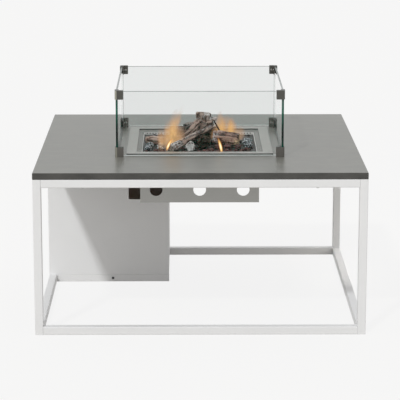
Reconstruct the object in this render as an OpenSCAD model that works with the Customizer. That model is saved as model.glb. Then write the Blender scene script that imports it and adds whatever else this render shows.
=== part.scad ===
// Square lounge fire table: a white tube frame, a grey top, a gas burner with ceramic logs,
// a clipped glass wind guard and a closed bay for the gas bottle.
// X runs to the right, Y to the back and Z up. The origin is on the floor under the table's middle.
// All sizes are in millimetres.

/* [Table] */
// Width of the table, left to right
table_w = 1000; // [940:10:1200]
// Depth of the table, front to back
table_d = 1000; // [940:10:1200]
// Height of the table surface above the floor
table_h = 500; // [450:5:600]
// Thickness of the table top
top_t = 20; // [16:1:30]
// Chamfer on the edges of the table top
top_chamfer = 1.5; // [0.5:0.5:3]

/* [Frame] */
// Outer side of the square frame tube
tube = 25; // [22:1:32]
// Wall of the frame tube
tube_wall = 1.5; // [1:0.5:3]
// Corner radius of the frame tube
tube_corner = 2.5; // [1:0.5:4]
// Distance of the top screws from the table's corners
top_screw_inset = 150; // [80:5:220]

/* [Burner] */
// Width of the plate's border round its opening
plate_border = 31; // [24:1:40]
// Height of the burner plate above the table surface
plate_rise = 5; // [4:0.5:8]
// Corner radius of the burner plate
plate_corner = 4; // [2:1:8]
// Side of the plate's square opening
opening_w = 394; // [370:2:400]
// Sheet thickness of the burner parts
steel_t = 1.5; // [1:0.5:2]
// Gap between the plate's opening and the cut-out in the table top
cut_gap = 5; // [3:1:8]
// Width of the tray's rim that rests on the table top
tray_lip = 12; // [8:1:18]
// How far the tray's walls slope in below the opening
flare = 14; // [10:0.5:18]
// Height over which the tray's walls slope
flare_drop = 4.5; // [3:0.5:8]
// Depth of the tray's underside below the table surface
tray_depth = 60; // [55:1:66]
// Depth of the deck's surface below the table surface
deck_drop = 12; // [8:1:16]
// Gap between the deck and the tray's walls
deck_gap = 1; // [0.5:0.5:3]
// Radius of the burner ring
ring_r = 100; // [70:5:130]
// Radius of the burner ring's tube
ring_tube_r = 11; // [8:1:13]
// Radius of the gas ports in the deck
port_r = 4; // [2:0.5:5]
// Number of gas ports in the deck
ports = 24; // [12:1:36]

// Height of the perforated strip on the deck's edge
strip_h = 7.5; // [6.5:0.5:9]
// Radius of the strip's air holes
strip_hole_r = 2.3; // [1.5:0.1:2.5]
// Distance between the strip's air holes
strip_pitch = 9.5; // [8:0.5:14]

/* [Burner box] */
// Gap between the tray and the box around it
box_gap = 1; // [0.5:0.5:4]
// Depth of the box's lower edge below the table surface
box_drop = 160; // [150:2:180]
// Width of the flange that screws the box to the table top
box_flange = 30; // [24:1:40]
// Radius of the box's vents
vent_r = 20; // [15:1:24]
// Distance between the vents
vent_pitch = 137; // [110:1:140]
// Depth of the vents' centres below the table surface
vent_drop = 119; // [112:1:125]

/* [Controls] */
// Depth of the controls below the table surface
control_drop = 75; // [72:1:80]
// Radius of the control knob
knob_r = 18; // [14:1:20]
// Height of the control knob
knob_h = 22; // [18:1:30]
// Gap between the knob and the box
knob_gap = 5; // [4.5:0.5:8]
// How far the knob pushes in
knob_travel = 4; // [2:0.5:4]
// Radius of the valve's stem
stem_r = 4; // [3:0.5:5]
// Distance of the igniter from the knob
igniter_x = 68; // [50:1:90]
// Radius of the igniter button
button_r = 7; // [5:0.5:9]
// How far the igniter button pushes in
button_travel = 5; // [3:0.5:6]
// Outer radius of the mixer tube
mixer_r = 10.5; // [9:0.5:12]
// Outer radius of the hose nozzle
nozzle_r = 4; // [3:0.5:5]
// Length of the hose nozzle
nozzle_len = 28; // [20:1:40]

/* [Glass guard] */
// Distance from the burner plate to the outside of the glass
guard_border = 31; // [24:1:50]
// Thickness of the glass
glass_t = 6; // [5:1:10]
// Height of a glass pane
glass_h = 202; // [160:2:260]
// Gap under the glass
glass_lift = 4; // [3:0.5:8]
// Length of a clip's leg along the glass
clip_len = 26; // [24:0.5:40]
// Outer wall of a clip
clip_wall = 2.6; // [2.2:0.1:4]
// Inner wall of a clip
clip_inner = 3; // [2:0.5:5]
// Radius of a clip's bend at the guard's corner
clip_corner = 6; // [2:0.5:6]
// Height of a lower clip
clip_low_h = 31; // [24:1:45]
// Height of an upper clip
clip_high_h = 28; // [24:0.5:45]
// Thickness of an upper clip's cap
clip_cap = 2.5; // [1.5:0.5:4]
// Radius of a clip screw's head
clip_head_r = 4; // [3:0.5:5]

/* [Bottle bay] */
// Width of the bay
bay_w = 400; // [360:5:420]
// Depth of the bay
bay_d = 382; // [350:2:420]
// Thickness of the bay's panels
panel_t = 2; // [1.5:0.5:4]
// Return on the panels' folded edges
panel_fold = 18; // [12:1:30]
// Room left around the burner box in the bay's panels
bay_clear = 46; // [20:1:60]
// Room left under the burner box in the bay's panels
bay_clear_low = 58; // [30:2:80]
// Gap round the door
door_gap = 2; // [1.5:0.5:3]
// Thickness of the door's folded edge
door_depth = 12; // [10:1:16]
// Set-back of the door from the frame's face
door_inset = 1; // [0.5:0.5:3]
// Vent under the door
door_vent = 18; // [12:1:40]
// Distance of the door's pivot from the leg
pivot_in = 12.5; // [12:0.5:20]
// Radius of the door's pivot pins
pivot_r = 3.5; // [2.5:0.5:4]
// Depth of the pivot pins in the door
pivot_depth = 20; // [12:1:30]
// Radius of the door's finger hole
finger_r = 15; // [12:1:20]
// Height of the finger hole, as a share of the door's height
finger_share = 0.72; // [0.3:0.01:0.85]

/* [Fire] */
// Distance between the lava stones
stone_pitch = 25; // [25:1:44]
// Radius of the largest lava stones
stone_r = 11; // [8:0.5:12]
// Depth of the seats between the logs
log_seat = 0.4; // [0.3:0.1:1]

/* [Hidden] */
$fn = 48;

frame_white = "#f1f1ef";
top_grey = "#9a9b98";
steel = "#a9aaa8";
dark_steel = "#4b4a48";
black = "#1f1f1f";
brass = "#c0a050";
bark_brown = "#6f5d50";
char_black = "#2b2725";
lava_red = "#7a4a42";
glass_green = "#cfe6dc";
ceramic_white = "#ece8df";

// Overlap of a cutter past the face that it cuts
over = 1;
// Gap of a running fit, on the radius
running_fit = 0.05;
// Gap round a fixed screw, rod or tube, on the radius
fixed_fit = 0.3;
// Gap between a pane and its clip
pane_fit = 0.3;

half_w = table_w / 2;
half_d = table_d / 2;
frame_h = table_h - top_t;
rail_x = table_w - 2 * tube;
rail_y = table_d - 2 * tube;

top_screw_r = 2.4;
top_screw_head = [4.5, 3];
top_screw_grip = 12;
box_screw_r = 1.8;
box_screw_head = [3.6, 2.2];
box_screw_grip = 10;
box_screw_x = 140;

plate_w = opening_w + 2 * plate_border;
guard_w = plate_w + 2 * guard_border;
tray_w = opening_w - 2 * flare;
cut_w = opening_w + 2 * cut_gap;
rim_w = cut_w + 2 * tray_lip;
flare_z = table_h - flare_drop;
tray_z = table_h - tray_depth;
floor_z = tray_z + steel_t;
deck_z = table_h - deck_drop;
deck_w = tray_w - 2 * deck_gap;
deck_unit = deck_w / 100;
strip_side = 2.2;
ring_lift = 8;
ring_z = floor_z + ring_lift + ring_tube_r;
spoke_r = 8;
hub_r = mixer_r + 3.5;
collar_r = mixer_r + 6;
rod_x = 24;
rod_gap = 20;
rod_y = ring_r + rod_gap;
rod_r = 2.5;
rod_flange = [7, 2];
rod_below = 8;

fix_hole_r = 2.2;
fix_hole_y = 124;

box_w = tray_w + 4 * steel_t + 2 * box_gap;
box_bottom = table_h - box_drop;
control_z = table_h - control_drop;
face_y = -box_w / 2;
valve_w = 26;
valve_h = 22;
valve_back = 44;
neck_r = 9;
neck_len = 7;
stem_in = 26;
knob_cap = 3.5;
stem_play = 0.5;
stem_out = knob_gap + knob_h - knob_travel - knob_cap - stem_play;
jet_r = 4;
jet_len = 14;
mixer_mouth = 50;
mixer_wall = 1.5;
bezel = [button_r + 5, 3];
barrel_r = button_r + 2.5;
barrel_len = 40;
button_out = bezel[1] + button_travel + 1;
button_in = 4;

// Outer faces of the clips, inner faces of their slots and of their inner walls
clip_outer = guard_w / 2 + pane_fit + clip_wall;
slot_outer = guard_w / 2 + pane_fit;
slot_depth = glass_t + 2 * pane_fit;
clip_depth = clip_wall + slot_depth + clip_inner;
glass_z = table_h + glass_lift;
guard_top = glass_z + glass_h + clip_cap;
clip_high_z = guard_top - clip_high_h;
clip_screw_in = 7;
clip_screw_r = 2;
clip_head_h = 2.4;

bay_x = -half_w + bay_w;
bay_y = half_d - bay_d;
bay_cut_x = -box_w / 2 - bay_clear;
bay_cut_y = box_w / 2 + bay_clear;
bay_cut_z = box_bottom - bay_clear_low;
under_rail = frame_h - tube;
bay_floor_z = tube + panel_t;
rail_screw_r = 2.5;
rail_screw_head = [4.2, 2];
rail_screw_x = (bay_x - half_w + tube) / 2;

door_left = -half_w + tube + door_gap;
door_right = bay_x - panel_t - door_gap;
door_low = bay_floor_z + door_vent;
door_high = under_rail - 2 * door_gap;
door_face = half_d - door_inset;
door_back = door_face - door_depth;
door_mid = (door_low + door_high) / 2;
pivot_x = -half_w + tube + pivot_in;
pivot_y = door_face - door_depth / 2;
pivot_block = 2 * (pivot_r + 2);
pivot_play = 2;
bracket_t = 2.5;
catch_size = [12, 18, 40];

// Each log: its two ends above the deck's middle and its radius at each end, in hundredths of the
// deck's side, and its own twist
LOG_MAIN = [[-23, -21, 4.6], [3.2, 11.5, 19.8], 6, 6.6, 1];
LOG_CROWN = [[3.6, 12.6, 17], [4.6, 13, 25.9], 6.8, 7, 10];
LOG_KNOT = [[7.5, 10, 21.5], [15.9, 10.5, 21.8], 2, 1.8, 9];
LOG_FORK = [[-24.5, -37, 3.6], [11.2, -5, 17.2], 3.6, 2.6, 2];
LOG_REAR = [[-25.9, 23.2, 7.1], [17.7, 19.6, 7.1], 7.1, 6.8, 3];
LOG_RIGHT = [[12.2, -6.8, 7.2], [34.9, -10.4, 6.5], 7.2, 6.5, 4];
LOG_LEFT = [[-46.5, 5, 4], [-31, -4, 4], 4.1, 4.3, 5];
LOG_FRONT = [[-8.2, -34, 4.5], [-7.8, -26, 4.5], 4.6, 4.6, 6];
LOG_CHAR = [[3.6, -24, 6], [3.4, -9, 6], 6.2, 6.2, 7];
LOG_TWIG = [[13, 8.2, 20.6], [24, 10, 0.8], 0.9, 0.9, 8];
// The logs that stand on the deck, with the share of each that lies low enough to keep stones away
LOG_FEET = [
    [LOG_MAIN, 0, 0.4], [LOG_FORK, 0, 0.35], [LOG_REAR, 0, 1], [LOG_RIGHT, 0, 1], [LOG_LEFT, 0, 1],
    [LOG_FRONT, 0, 1], [LOG_CHAR, 0, 1], [LOG_TWIG, 0.6, 1]
];
log_sides = 12;
log_steps = [0, 0.04, 0.2, 0.4, 0.6, 0.8, 0.96, 1];
log_bulge = 0.13;
// Char lumps: place on the deck and radius, in hundredths of the deck's side
LUMPS = [
    [-44, -15, 4.8], [-34.2, -14.5, 4.6], [-44.2, -27.6, 4.6], [-33.6, -25.4, 4.4], [41.6, -3.6, 6],
    [43.4, -16.6, 4.8], [33.6, -23.4, 4.6], [24.4, -22.6, 4.2], [16.2, -21, 4.2], [-41, 23, 4.1], [-33, 13, 4.3]
];
// Corner of the deck that is left bare, towards the back right, in hundredths of the deck's side
BARE_CORNER = [30.5, 14.2];
stone_sides = 6;
stone_levels = [[0.82, 0], [1, 0.5], [0.62, 1.05]];
stone_top = 1.25;

// A number from 0 to 1 that looks random but is always the same for the same seed
function noise(seed) = let (s = sin(seed * 127.1) * 43.7585) s - floor(s);

// Outline of a rectangle with rounded corners
function rounded_rect(w, d, r) = [
    for (quarter = [0:3], step = [0:3])
        let (
            across = sign(cos(quarter * 90 + 45)) * (w / 2 - r),
            along = sign(sin(quarter * 90 + 45)) * (d / 2 - r),
            turn = quarter * 90 + step * 30
        )
        [across + r * cos(turn), along + r * sin(turn)]
];

// Section of a slab with chamfered edges
function slab_section(w, t, c) = [
    [-w / 2 + c, 0], [w / 2 - c, 0], [w / 2, c], [w / 2, t - c],
    [w / 2 - c, t], [-w / 2 + c, t], [-w / 2, t - c], [-w / 2, c]
];

// Outline of an angle whose outer corner is at [corner, corner], with that corner rounded
function angle_outline(corner, length, depth, r) = concat(
    [for (step = [0:3]) [corner - r + r * cos(step * 30), corner - r + r * sin(step * 30)]],
    [
        [corner - length, corner], [corner - length, corner - depth],
        [corner - depth, corner - depth], [corner - depth, corner - length], [corner, corner - length]
    ]
);

// Faces of a skin over rings of points, closed by a middle point at each end
function skin_faces(rings, sides) = concat(
    [for (k = [0:sides - 1]) [rings * sides, k, (k + 1) % sides]],
    [
        for (i = [0:rings - 2], k = [0:sides - 1], half = [0, 1])
            let (a = i * sides + k, b = i * sides + (k + 1) % sides)
            half == 0 ? [a, a + sides, b + sides] : [a, b + sides, b]
    ],
    [
        for (k = [0:sides - 1])
            let (last = (rings - 1) * sides)
            [rings * sides + 1, last + (k + 1) % sides, last + k]
    ]
);

function unit(v) = v / norm(v);
function on_deck(p) = [p.x, p.y, max(p.z, deck_z)];
function log_point(log, t) = [0, 0, deck_z] + deck_unit * (log[0] + t * (log[1] - log[0]));
function log_radius(log, t, turn) =
    let (
        broad = 0.55 * sin(3 * turn + 140 * log[4]),
        fine = 0.45 * sin(5 * turn + 300 * t + 60 * log[4]),
        end = t == 0 || t == 1 ? 0.86 : 1
    )
    end * deck_unit * (log[2] + t * (log[3] - log[2])) * (1 + log_bulge * (broad + fine));

// Points of a log's skin, grown outwards by a seat's depth, and cut flat where it stands on the deck
function log_points(log, grow) =
    let (
        ahead = unit(log[1] - log[0]),
        side = unit(cross([0, 0, 1], ahead)),
        rise = cross(ahead, side)
    )
    concat(
        [
            for (t = log_steps, k = [0:log_sides - 1])
                let (
                    turn = k * 360 / log_sides,
                    r = log_radius(log, t, turn) + grow,
                    middle = log_point(log, t) + grow * (2 * t - 1) * ahead
                )
                on_deck(middle + r * (cos(turn) * side + sin(turn) * rise))
        ],
        [on_deck(log_point(log, 0) - grow * ahead), on_deck(log_point(log, 1) + grow * ahead)]
    );

// Points of a stone that stands flat on the deck
function stone_points(place, r, seed) = concat(
    [
        for (level = [0:2], k = [0:stone_sides - 1])
            let (
                turn = k * 360 / stone_sides + 30 * noise(seed + level),
                reach = r * stone_levels[level][0] * (0.84 + 0.16 * noise(seed + 5 * k + 31 * level))
            )
            [place.x + reach * cos(turn), place.y + reach * sin(turn), deck_z + r * stone_levels[level][1]]
    ],
    [[place.x, place.y, deck_z], [place.x, place.y, deck_z + r * stone_top]]
);

// Largest radius of a log
function log_reach(log) = deck_unit * (1 + log_bulge) * max(log[2], log[3]);

// Distance in plan from a point to a stretch of a log
function log_distance(p, log, from, to) =
    let (
        a = log_point(log, from),
        b = log_point(log, to),
        run = [b.x - a.x, b.y - a.y],
        t = max(0, min(1, ((p.x - a.x) * run.x + (p.y - a.y) * run.y) / (run * run)))
    )
    norm([p.x - a.x - t * run.x, p.y - a.y - t * run.y]);

// Places for the lava stones: a shaken grid, without the spots that logs and lumps take
stone_rows = floor((deck_w / 2 - stone_r) / stone_pitch);
stone_shake = (stone_pitch / 2 - stone_r) * 0.8;
stone_places = [
    for (row = [-stone_rows:stone_rows], column = [-stone_rows:stone_rows - abs(row) % 2])
        let (
            seed = 40 * row + column,
            x = stone_pitch * (column + abs(row) % 2 / 2) + stone_shake * (2 * noise(seed) - 1),
            y = stone_pitch * row + stone_shake * (2 * noise(seed + 0.5) - 1),
            p = [x, y],
            log_room = min([for (f = LOG_FEET) log_distance(p, f[0], f[1], f[2]) - log_reach(f[0])]),
            lump_room = min([for (l = LUMPS) norm([p.x, p.y] - deck_unit * [l.x, l.y]) - deck_unit * l.z]),
            bare_in = deck_unit * BARE_CORNER - [stone_r, stone_r],
            bare = p.x > bare_in.x && p.y > bare_in.y
        )
        if (log_room > stone_r + 1 && lump_room > stone_r + 1 && !bare) p
];

// A length of frame tube that stands on the origin
module tube_bar(length) {
    linear_extrude(length)
        difference() {
            polygon(rounded_rect(tube, tube, tube_corner));
            square(tube - 2 * tube_wall, center = true);
        }
}

module tube_along_x(length) {
    translate([-length / 2, 0, 0])
        rotate([90, 0, 90])
            tube_bar(length);
}

module tube_along_y(length) {
    translate([0, -length / 2, 0])
        rotate([-90, 0, 0])
            tube_bar(length);
}

// A leg at one corner, closed at its foot
module leg(side, end) {
    color(frame_white)
        translate([side * (half_w - tube / 2), end * (half_d - tube / 2), 0]) {
            tube_bar(frame_h);
            linear_extrude(tube_wall)
                polygon(rounded_rect(tube, tube, tube_corner));
        }
}

module at_top_screws() {
    for (side = [-1, 1], end = [-1, 1]) {
        translate([side * (half_w - top_screw_inset), end * (half_d - tube / 2), 0])
            children();
        translate([side * (half_w - tube / 2), end * (half_d - top_screw_inset), 0])
            children();
    }
}

// A top rail, drilled for the screws that hold the table top
module top_rail(side, end) {
    color(frame_white)
        difference() {
            translate([side * (half_w - tube / 2), end * (half_d - tube / 2), frame_h - tube / 2])
                if (side == 0) tube_along_x(rail_x);
                else tube_along_y(rail_y);
            at_top_screws()
                translate([0, 0, under_rail - over])
                    cylinder(r = top_screw_r + fixed_fit, h = tube + 2 * over);
        }
}

module bottom_rail(side, end) {
    color(frame_white)
        translate([side * (half_w - tube / 2), end * (half_d - tube / 2), tube / 2])
            if (side == 0) tube_along_x(rail_x);
            else tube_along_y(rail_y);
}

// A pan-head screw that points up, with its head under z = 0
module screw_up(r, length, head) {
    translate([0, 0, -head[1]])
        cylinder(r = head[0], h = head[1]);
    cylinder(r = r, h = length);
}

module leg_front_left() { leg(-1, -1); }
module leg_front_right() { leg(1, -1); }
module leg_rear_left() { leg(-1, 1); }
module leg_rear_right() { leg(1, 1); }
module top_rail_front() { top_rail(0, -1); }
module top_rail_rear() { top_rail(0, 1); }
module top_rail_left() { top_rail(-1, 0); }
module top_rail_right() { top_rail(1, 0); }
module bottom_rail_front() { bottom_rail(0, -1); }
module bottom_rail_rear() { bottom_rail(0, 1); }
module bottom_rail_left() { bottom_rail(-1, 0); }
module bottom_rail_right() { bottom_rail(1, 0); }

// Cross rail under the bay's front panel
module bay_rail() {
    length = bay_x + half_w - tube;
    color(frame_white)
        difference() {
            translate([bay_x - length / 2, bay_y + tube / 2, tube / 2])
                tube_along_x(length);
            translate([rail_screw_x, bay_y - over, tube / 2])
                rotate([-90, 0, 0])
                    cylinder(r = rail_screw_r + fixed_fit, h = tube_wall + 2 * over);
        }
}

module rail_screw() {
    color(black)
        translate([rail_screw_x, bay_y, tube / 2])
            rotate([-90, 0, 0])
                screw_up(rail_screw_r, tube / 2, rail_screw_head);
}

module at_box_screws() {
    for (turn = [0:90:270], side = [-1, 1])
        rotate(turn)
            translate([side * box_screw_x, -(box_w + box_flange) / 2, 0])
                children();
}

// Table top: a chamfered slab with the burner's cut-out and blind screw holes
module table_top() {
    color(top_grey)
        difference() {
            translate([0, 0, frame_h])
                intersection() {
                    rotate([90, 0, 0])
                        linear_extrude(table_d, center = true)
                            polygon(slab_section(table_w, top_t, top_chamfer));
                    rotate([90, 0, 90])
                        linear_extrude(table_w, center = true)
                            polygon(slab_section(table_d, top_t, top_chamfer));
                }
            translate([0, 0, table_h])
                cube([cut_w, cut_w, 3 * top_t], center = true);
            at_top_screws()
                translate([0, 0, frame_h - over])
                    cylinder(r = top_screw_r + fixed_fit, h = top_screw_grip + 2 * over);
            at_box_screws()
                translate([0, 0, frame_h - over])
                    cylinder(r = box_screw_r + fixed_fit, h = box_screw_grip + 2 * over);
        }
}

module top_screws() {
    color(steel)
        at_top_screws()
            translate([0, 0, under_rail])
                screw_up(top_screw_r, tube + top_screw_grip, top_screw_head);
}

// Raised plate: a folded ring with an outer skirt on the table top and a lip round the opening
module burner_plate() {
    color(steel)
        difference() {
            translate([0, 0, table_h])
                linear_extrude(plate_rise)
                    difference() {
                        polygon(rounded_rect(plate_w, plate_w, plate_corner));
                        square(opening_w, center = true);
                    }
            translate([0, 0, table_h - over])
                linear_extrude(plate_rise - steel_t + over)
                    difference() {
                        square(plate_w - 2 * steel_t, center = true);
                        square(opening_w + 2 * steel_t, center = true);
                    }
            translate([0, 0, table_h - over])
                linear_extrude(steel_t + fixed_fit + over)
                    square(opening_w + 4 * steel_t, center = true);
        }
}

// A square column whose side changes evenly from one height to another
module square_taper(low, high, low_w, high_w) {
    translate([0, 0, low])
        linear_extrude(high - low, scale = high_w / low_w)
            square(low_w, center = true);
}

// Tray: a rim on the table top, walls that slope in and a flat pan
module burner_tray() {
    slope = 2 * flare / (flare_drop + steel_t);
    color(dark_steel)
        difference() {
            union() {
                translate([-rim_w / 2, -rim_w / 2, table_h])
                    cube([rim_w, rim_w, steel_t]);
                square_taper(flare_z, table_h, tray_w + 2 * steel_t, opening_w + 2 * steel_t);
                translate([-tray_w / 2 - steel_t, -tray_w / 2 - steel_t, tray_z])
                    cube([tray_w + 2 * steel_t, tray_w + 2 * steel_t, flare_z - tray_z]);
            }
            square_taper(flare_z, table_h + steel_t + over, tray_w, opening_w + slope * over);
            translate([-tray_w / 2, -tray_w / 2, floor_z])
                cube([tray_w, tray_w, flare_z - floor_z + over / 10]);
            translate([0, 0, tray_z - over])
                cylinder(r = mixer_r + fixed_fit, h = steel_t + 2 * over);
            at_rods()
                translate([0, 0, tray_z - over])
                    cylinder(r = rod_r + fixed_fit, h = steel_t + 2 * over);
            for (side = [-1, 1])
                translate([side * (opening_w - flare) / 2, -fix_hole_y, flare_z - steel_t])
                    cylinder(r = fix_hole_r, h = flare_drop + 3 * steel_t);
        }
}

module at_rods() {
    for (side = [-1, 1])
        translate([side * rod_x, -rod_y, 0])
            children();
}

// Deck over the burner ring: a sheet with folded edges that stands in the tray, with gas ports
module ember_deck() {
    color(dark_steel)
        difference() {
            translate([-deck_w / 2, -deck_w / 2, floor_z])
                cube([deck_w, deck_w, deck_z - floor_z]);
            translate([-deck_w / 2 + steel_t, -deck_w / 2 + steel_t, floor_z - over])
                cube([deck_w - 2 * steel_t, deck_w - 2 * steel_t, deck_z - steel_t - floor_z + over]);
            for (port = [0:ports - 1])
                rotate(port * 360 / ports)
                    translate([ring_r, 0, deck_z - steel_t - over])
                        cylinder(r = port_r, h = steel_t + 2 * over);
        }
}

// One side of the strip round the deck, standing along X, with a row of air holes
module strip_wall(length) {
    holes = floor((deck_w - 2 * strip_pitch) / strip_pitch / 2);
    translate([0, -deck_w / 2 + steel_t, deck_z])
        rotate([90, 0, 0])
            linear_extrude(steel_t)
                difference() {
                    translate([-length / 2, 0])
                        square([length, strip_h]);
                    for (hole = [-holes:holes])
                        translate([hole * strip_pitch, strip_h - strip_hole_r - strip_side / 2])
                            circle(r = strip_hole_r, $fn = 20);
                }
}

// Perforated steel strip that stands on the deck's edge and lets air in behind the flames
module vent_strip() {
    color(steel)
        for (turn = [0:90:270])
            rotate(turn)
                strip_wall(turn % 180 == 0 ? deck_w : deck_w - 2 * steel_t);
}

// Burner ring on two spokes, with a hub that stands on the tray's floor over the mixer tube
module burner_ring() {
    color(steel)
        difference() {
            union() {
                translate([0, 0, ring_z])
                    rotate_extrude()
                        translate([ring_r, 0])
                            circle(r = ring_tube_r);
                translate([0, 0, ring_z])
                    rotate([0, 90, 0])
                        cylinder(r = spoke_r, h = 2 * ring_r, center = true);
                translate([0, 0, floor_z])
                    cylinder(r = hub_r, h = ring_z + spoke_r + 2 - floor_z);
            }
            translate([0, 0, floor_z - over])
                cylinder(r = mixer_r + fixed_fit, h = ring_z - floor_z + over);
        }
}

// Mixer tube: takes gas and air from the valve's jet and carries it up into the ring's hub
module mixer_tube() {
    color(steel)
        difference() {
            union() {
                translate([0, face_y + mixer_mouth, control_z])
                    rotate([-90, 0, 0])
                        cylinder(r = mixer_r, h = mixer_r - face_y - mixer_mouth);
                translate([0, 0, control_z])
                    cylinder(r = mixer_r, h = ring_z - fixed_fit - control_z);
                translate([0, 0, tray_z - steel_t])
                    cylinder(r = collar_r, h = steel_t);
            }
            translate([0, face_y + mixer_mouth - over, control_z])
                rotate([-90, 0, 0])
                    cylinder(r = mixer_r - mixer_wall, h = over - face_y - mixer_mouth);
            translate([0, 0, control_z])
                cylinder(r = mixer_r - mixer_wall, h = ring_z - control_z);
        }
}

// A rod that hangs by its flange in a hole of the tray's floor and ends under the deck
module floor_rod(tip_r) {
    translate([0, 0, floor_z])
        cylinder(r = rod_flange[0], h = rod_flange[1]);
    translate([0, 0, tray_z - rod_below])
        cylinder(r = rod_r, h = ring_z - tray_z + rod_below);
    translate([0, 0, ring_z])
        cylinder(r = tip_r, h = 0.4 * (deck_z - steel_t - ring_z));
}

module spark_electrode() {
    color(ceramic_white)
        translate([-rod_x, -rod_y, 0])
            floor_rod(rod_r - 1.3);
}

module thermocouple() {
    color(brass)
        translate([rod_x, -rod_y, 0])
            floor_rod(rod_r - 0.6);
}

// One wall of the burner box, with its outer face at -Y, its flange under the table top and its vents
module box_wall(length) {
    difference() {
        union() {
            translate([-length / 2, face_y, box_bottom])
                cube([length, steel_t, frame_h - box_bottom]);
            translate([-length / 2, face_y - box_flange, frame_h - steel_t])
                cube([length, box_flange + steel_t, steel_t]);
        }
        for (place = [-1:1])
            translate([place * vent_pitch, face_y - over, table_h - vent_drop])
                rotate([-90, 0, 0])
                    cylinder(r = vent_r, h = steel_t + 2 * over);
        at_box_screws()
            translate([0, 0, frame_h - steel_t - over])
                cylinder(r = box_screw_r + fixed_fit, h = steel_t + 2 * over);
    }
}

// Places a piece that points out of the box's front face, with its own +Z towards the user
module on_box_front(x) {
    translate([x, face_y, control_z])
        rotate([90, 0, 0])
            children();
}

module box_front() {
    color(steel)
        difference() {
            box_wall(box_w);
            on_box_front(0)
                cylinder(r = stem_r + 1, h = 4 * steel_t, center = true);
            on_box_front(igniter_x)
                cylinder(r = barrel_r + fixed_fit, h = 4 * steel_t, center = true);
        }
}

module box_rear() { color(steel) rotate(180) box_wall(box_w); }
module box_left() { color(steel) rotate(-90) box_wall(box_w - 2 * steel_t); }
module box_right() { color(steel) rotate(90) box_wall(box_w - 2 * steel_t); }

module box_screws() {
    color(steel)
        at_box_screws()
            translate([0, 0, frame_h - steel_t])
                screw_up(box_screw_r, steel_t + box_screw_grip, box_screw_head);
}

// Gas valve: a block on a neck behind the box's front, with the stem's bore and a jet at the back
module gas_valve() {
    color(brass)
        on_box_front(0)
            difference() {
                union() {
                    translate([0, 0, -steel_t - neck_len])
                        cylinder(r = neck_r, h = neck_len);
                    translate([-valve_w / 2, -valve_h / 2, -valve_back])
                        cube([valve_w, valve_h, valve_back - steel_t - neck_len]);
                    translate([0, 0, -valve_back - jet_len])
                        cylinder(r = jet_r, h = jet_len);
                }
                translate([0, 0, -stem_in - 2])
                    cylinder(r = stem_r + running_fit, h = stem_in + 2);
            }
}

// Nozzle for the gas hose, on the valve's side towards the bottle bay
module hose_nozzle() {
    color(brass)
        translate([-valve_w / 2, face_y + (valve_back + steel_t + neck_len) / 2, control_z])
            rotate([0, -90, 0]) {
                cylinder(r = nozzle_r + 3, h = 8, $fn = 6);
                cylinder(r = nozzle_r, h = 8 + nozzle_len);
            }
}

module valve_stem() {
    color(steel)
        on_box_front(0)
            translate([0, 0, -stem_in])
                cylinder(r = stem_r, h = stem_in + stem_out);
}

// Control knob: a round skirt and a grip bar, with a bore that slides on the stem
module control_knob() {
    color(black)
        on_box_front(0)
            difference() {
                translate([0, 0, knob_gap])
                    intersection() {
                        cylinder(r = knob_r, h = knob_h);
                        union() {
                            cylinder(r = knob_r, h = knob_h * 0.35);
                            translate([-knob_r * 0.26, -knob_r, 0])
                                cube([knob_r * 0.52, 2 * knob_r, knob_h]);
                            cylinder(r = knob_r * 0.72, h = knob_h * 0.6);
                        }
                    }
                translate([0, 0, knob_gap - over])
                    cylinder(r = stem_r + running_fit, h = over + knob_h - knob_cap);
            }
}

// Igniter: a barrel through the box's front with a bezel, and a bore for its button
module igniter_body() {
    color(black)
        on_box_front(igniter_x)
            difference() {
                union() {
                    cylinder(r = bezel[0], h = bezel[1]);
                    translate([0, 0, -barrel_len])
                        cylinder(r = barrel_r, h = barrel_len);
                }
                translate([0, 0, -button_in - button_travel - 2])
                    cylinder(r = button_r + running_fit, h = button_in + button_travel + 2 + bezel[1] + over);
            }
}

module igniter_button() {
    color("#b8321f")
        on_box_front(igniter_x)
            translate([0, 0, -button_in])
                cylinder(r = button_r, h = button_in + button_out);
}

module log_body(log, grow = 0) {
    polyhedron(log_points(log, grow), skin_faces(len(log_steps), log_sides));
}

module log_main() {
    color(bark_brown)
        difference() {
            union() {
                log_body(LOG_MAIN);
                log_body(LOG_CROWN);
                log_body(LOG_KNOT);
            }
            log_body(LOG_REAR, log_seat);
        }
}

module log_fork() {
    color(bark_brown)
        difference() {
            log_body(LOG_FORK);
            log_body(LOG_MAIN, log_seat);
            log_body(LOG_RIGHT, log_seat);
        }
}

module log_twig() {
    color(char_black)
        difference() {
            log_body(LOG_TWIG);
            log_body(LOG_KNOT, log_seat);
            log_body(LOG_RIGHT, log_seat);
        }
}

module log_rear() { color(char_black) log_body(LOG_REAR); }
module log_right() { color(bark_brown) log_body(LOG_RIGHT); }
module log_left() { color(bark_brown) log_body(LOG_LEFT); }

module log_front() {
    color(bark_brown)
        difference() {
            log_body(LOG_FRONT);
            log_body(LOG_FORK, log_seat);
        }
}

module log_char() {
    color(char_black)
        difference() {
            log_body(LOG_CHAR);
            log_body(LOG_FORK, log_seat);
        }
}

module stone(place, r, seed) {
    polyhedron(stone_points(place, r, seed), skin_faces(len(stone_levels), stone_sides));
}

module lava_stones() {
    color(lava_red)
        for (i = [0:len(stone_places) - 1])
            stone(stone_places[i], stone_r * (0.78 + 0.22 * noise(i + 0.5)), i);
}

module char_lumps() {
    color(char_black)
        for (i = [0:len(LUMPS) - 1])
            stone(deck_unit * LUMPS[i], deck_unit * LUMPS[i].z, 100 + i);
}

module pane(w, d) {
    color(glass_green, 0.4)
        translate([-w / 2, -d / 2, glass_z])
            cube([w, d, glass_h]);
}

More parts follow.
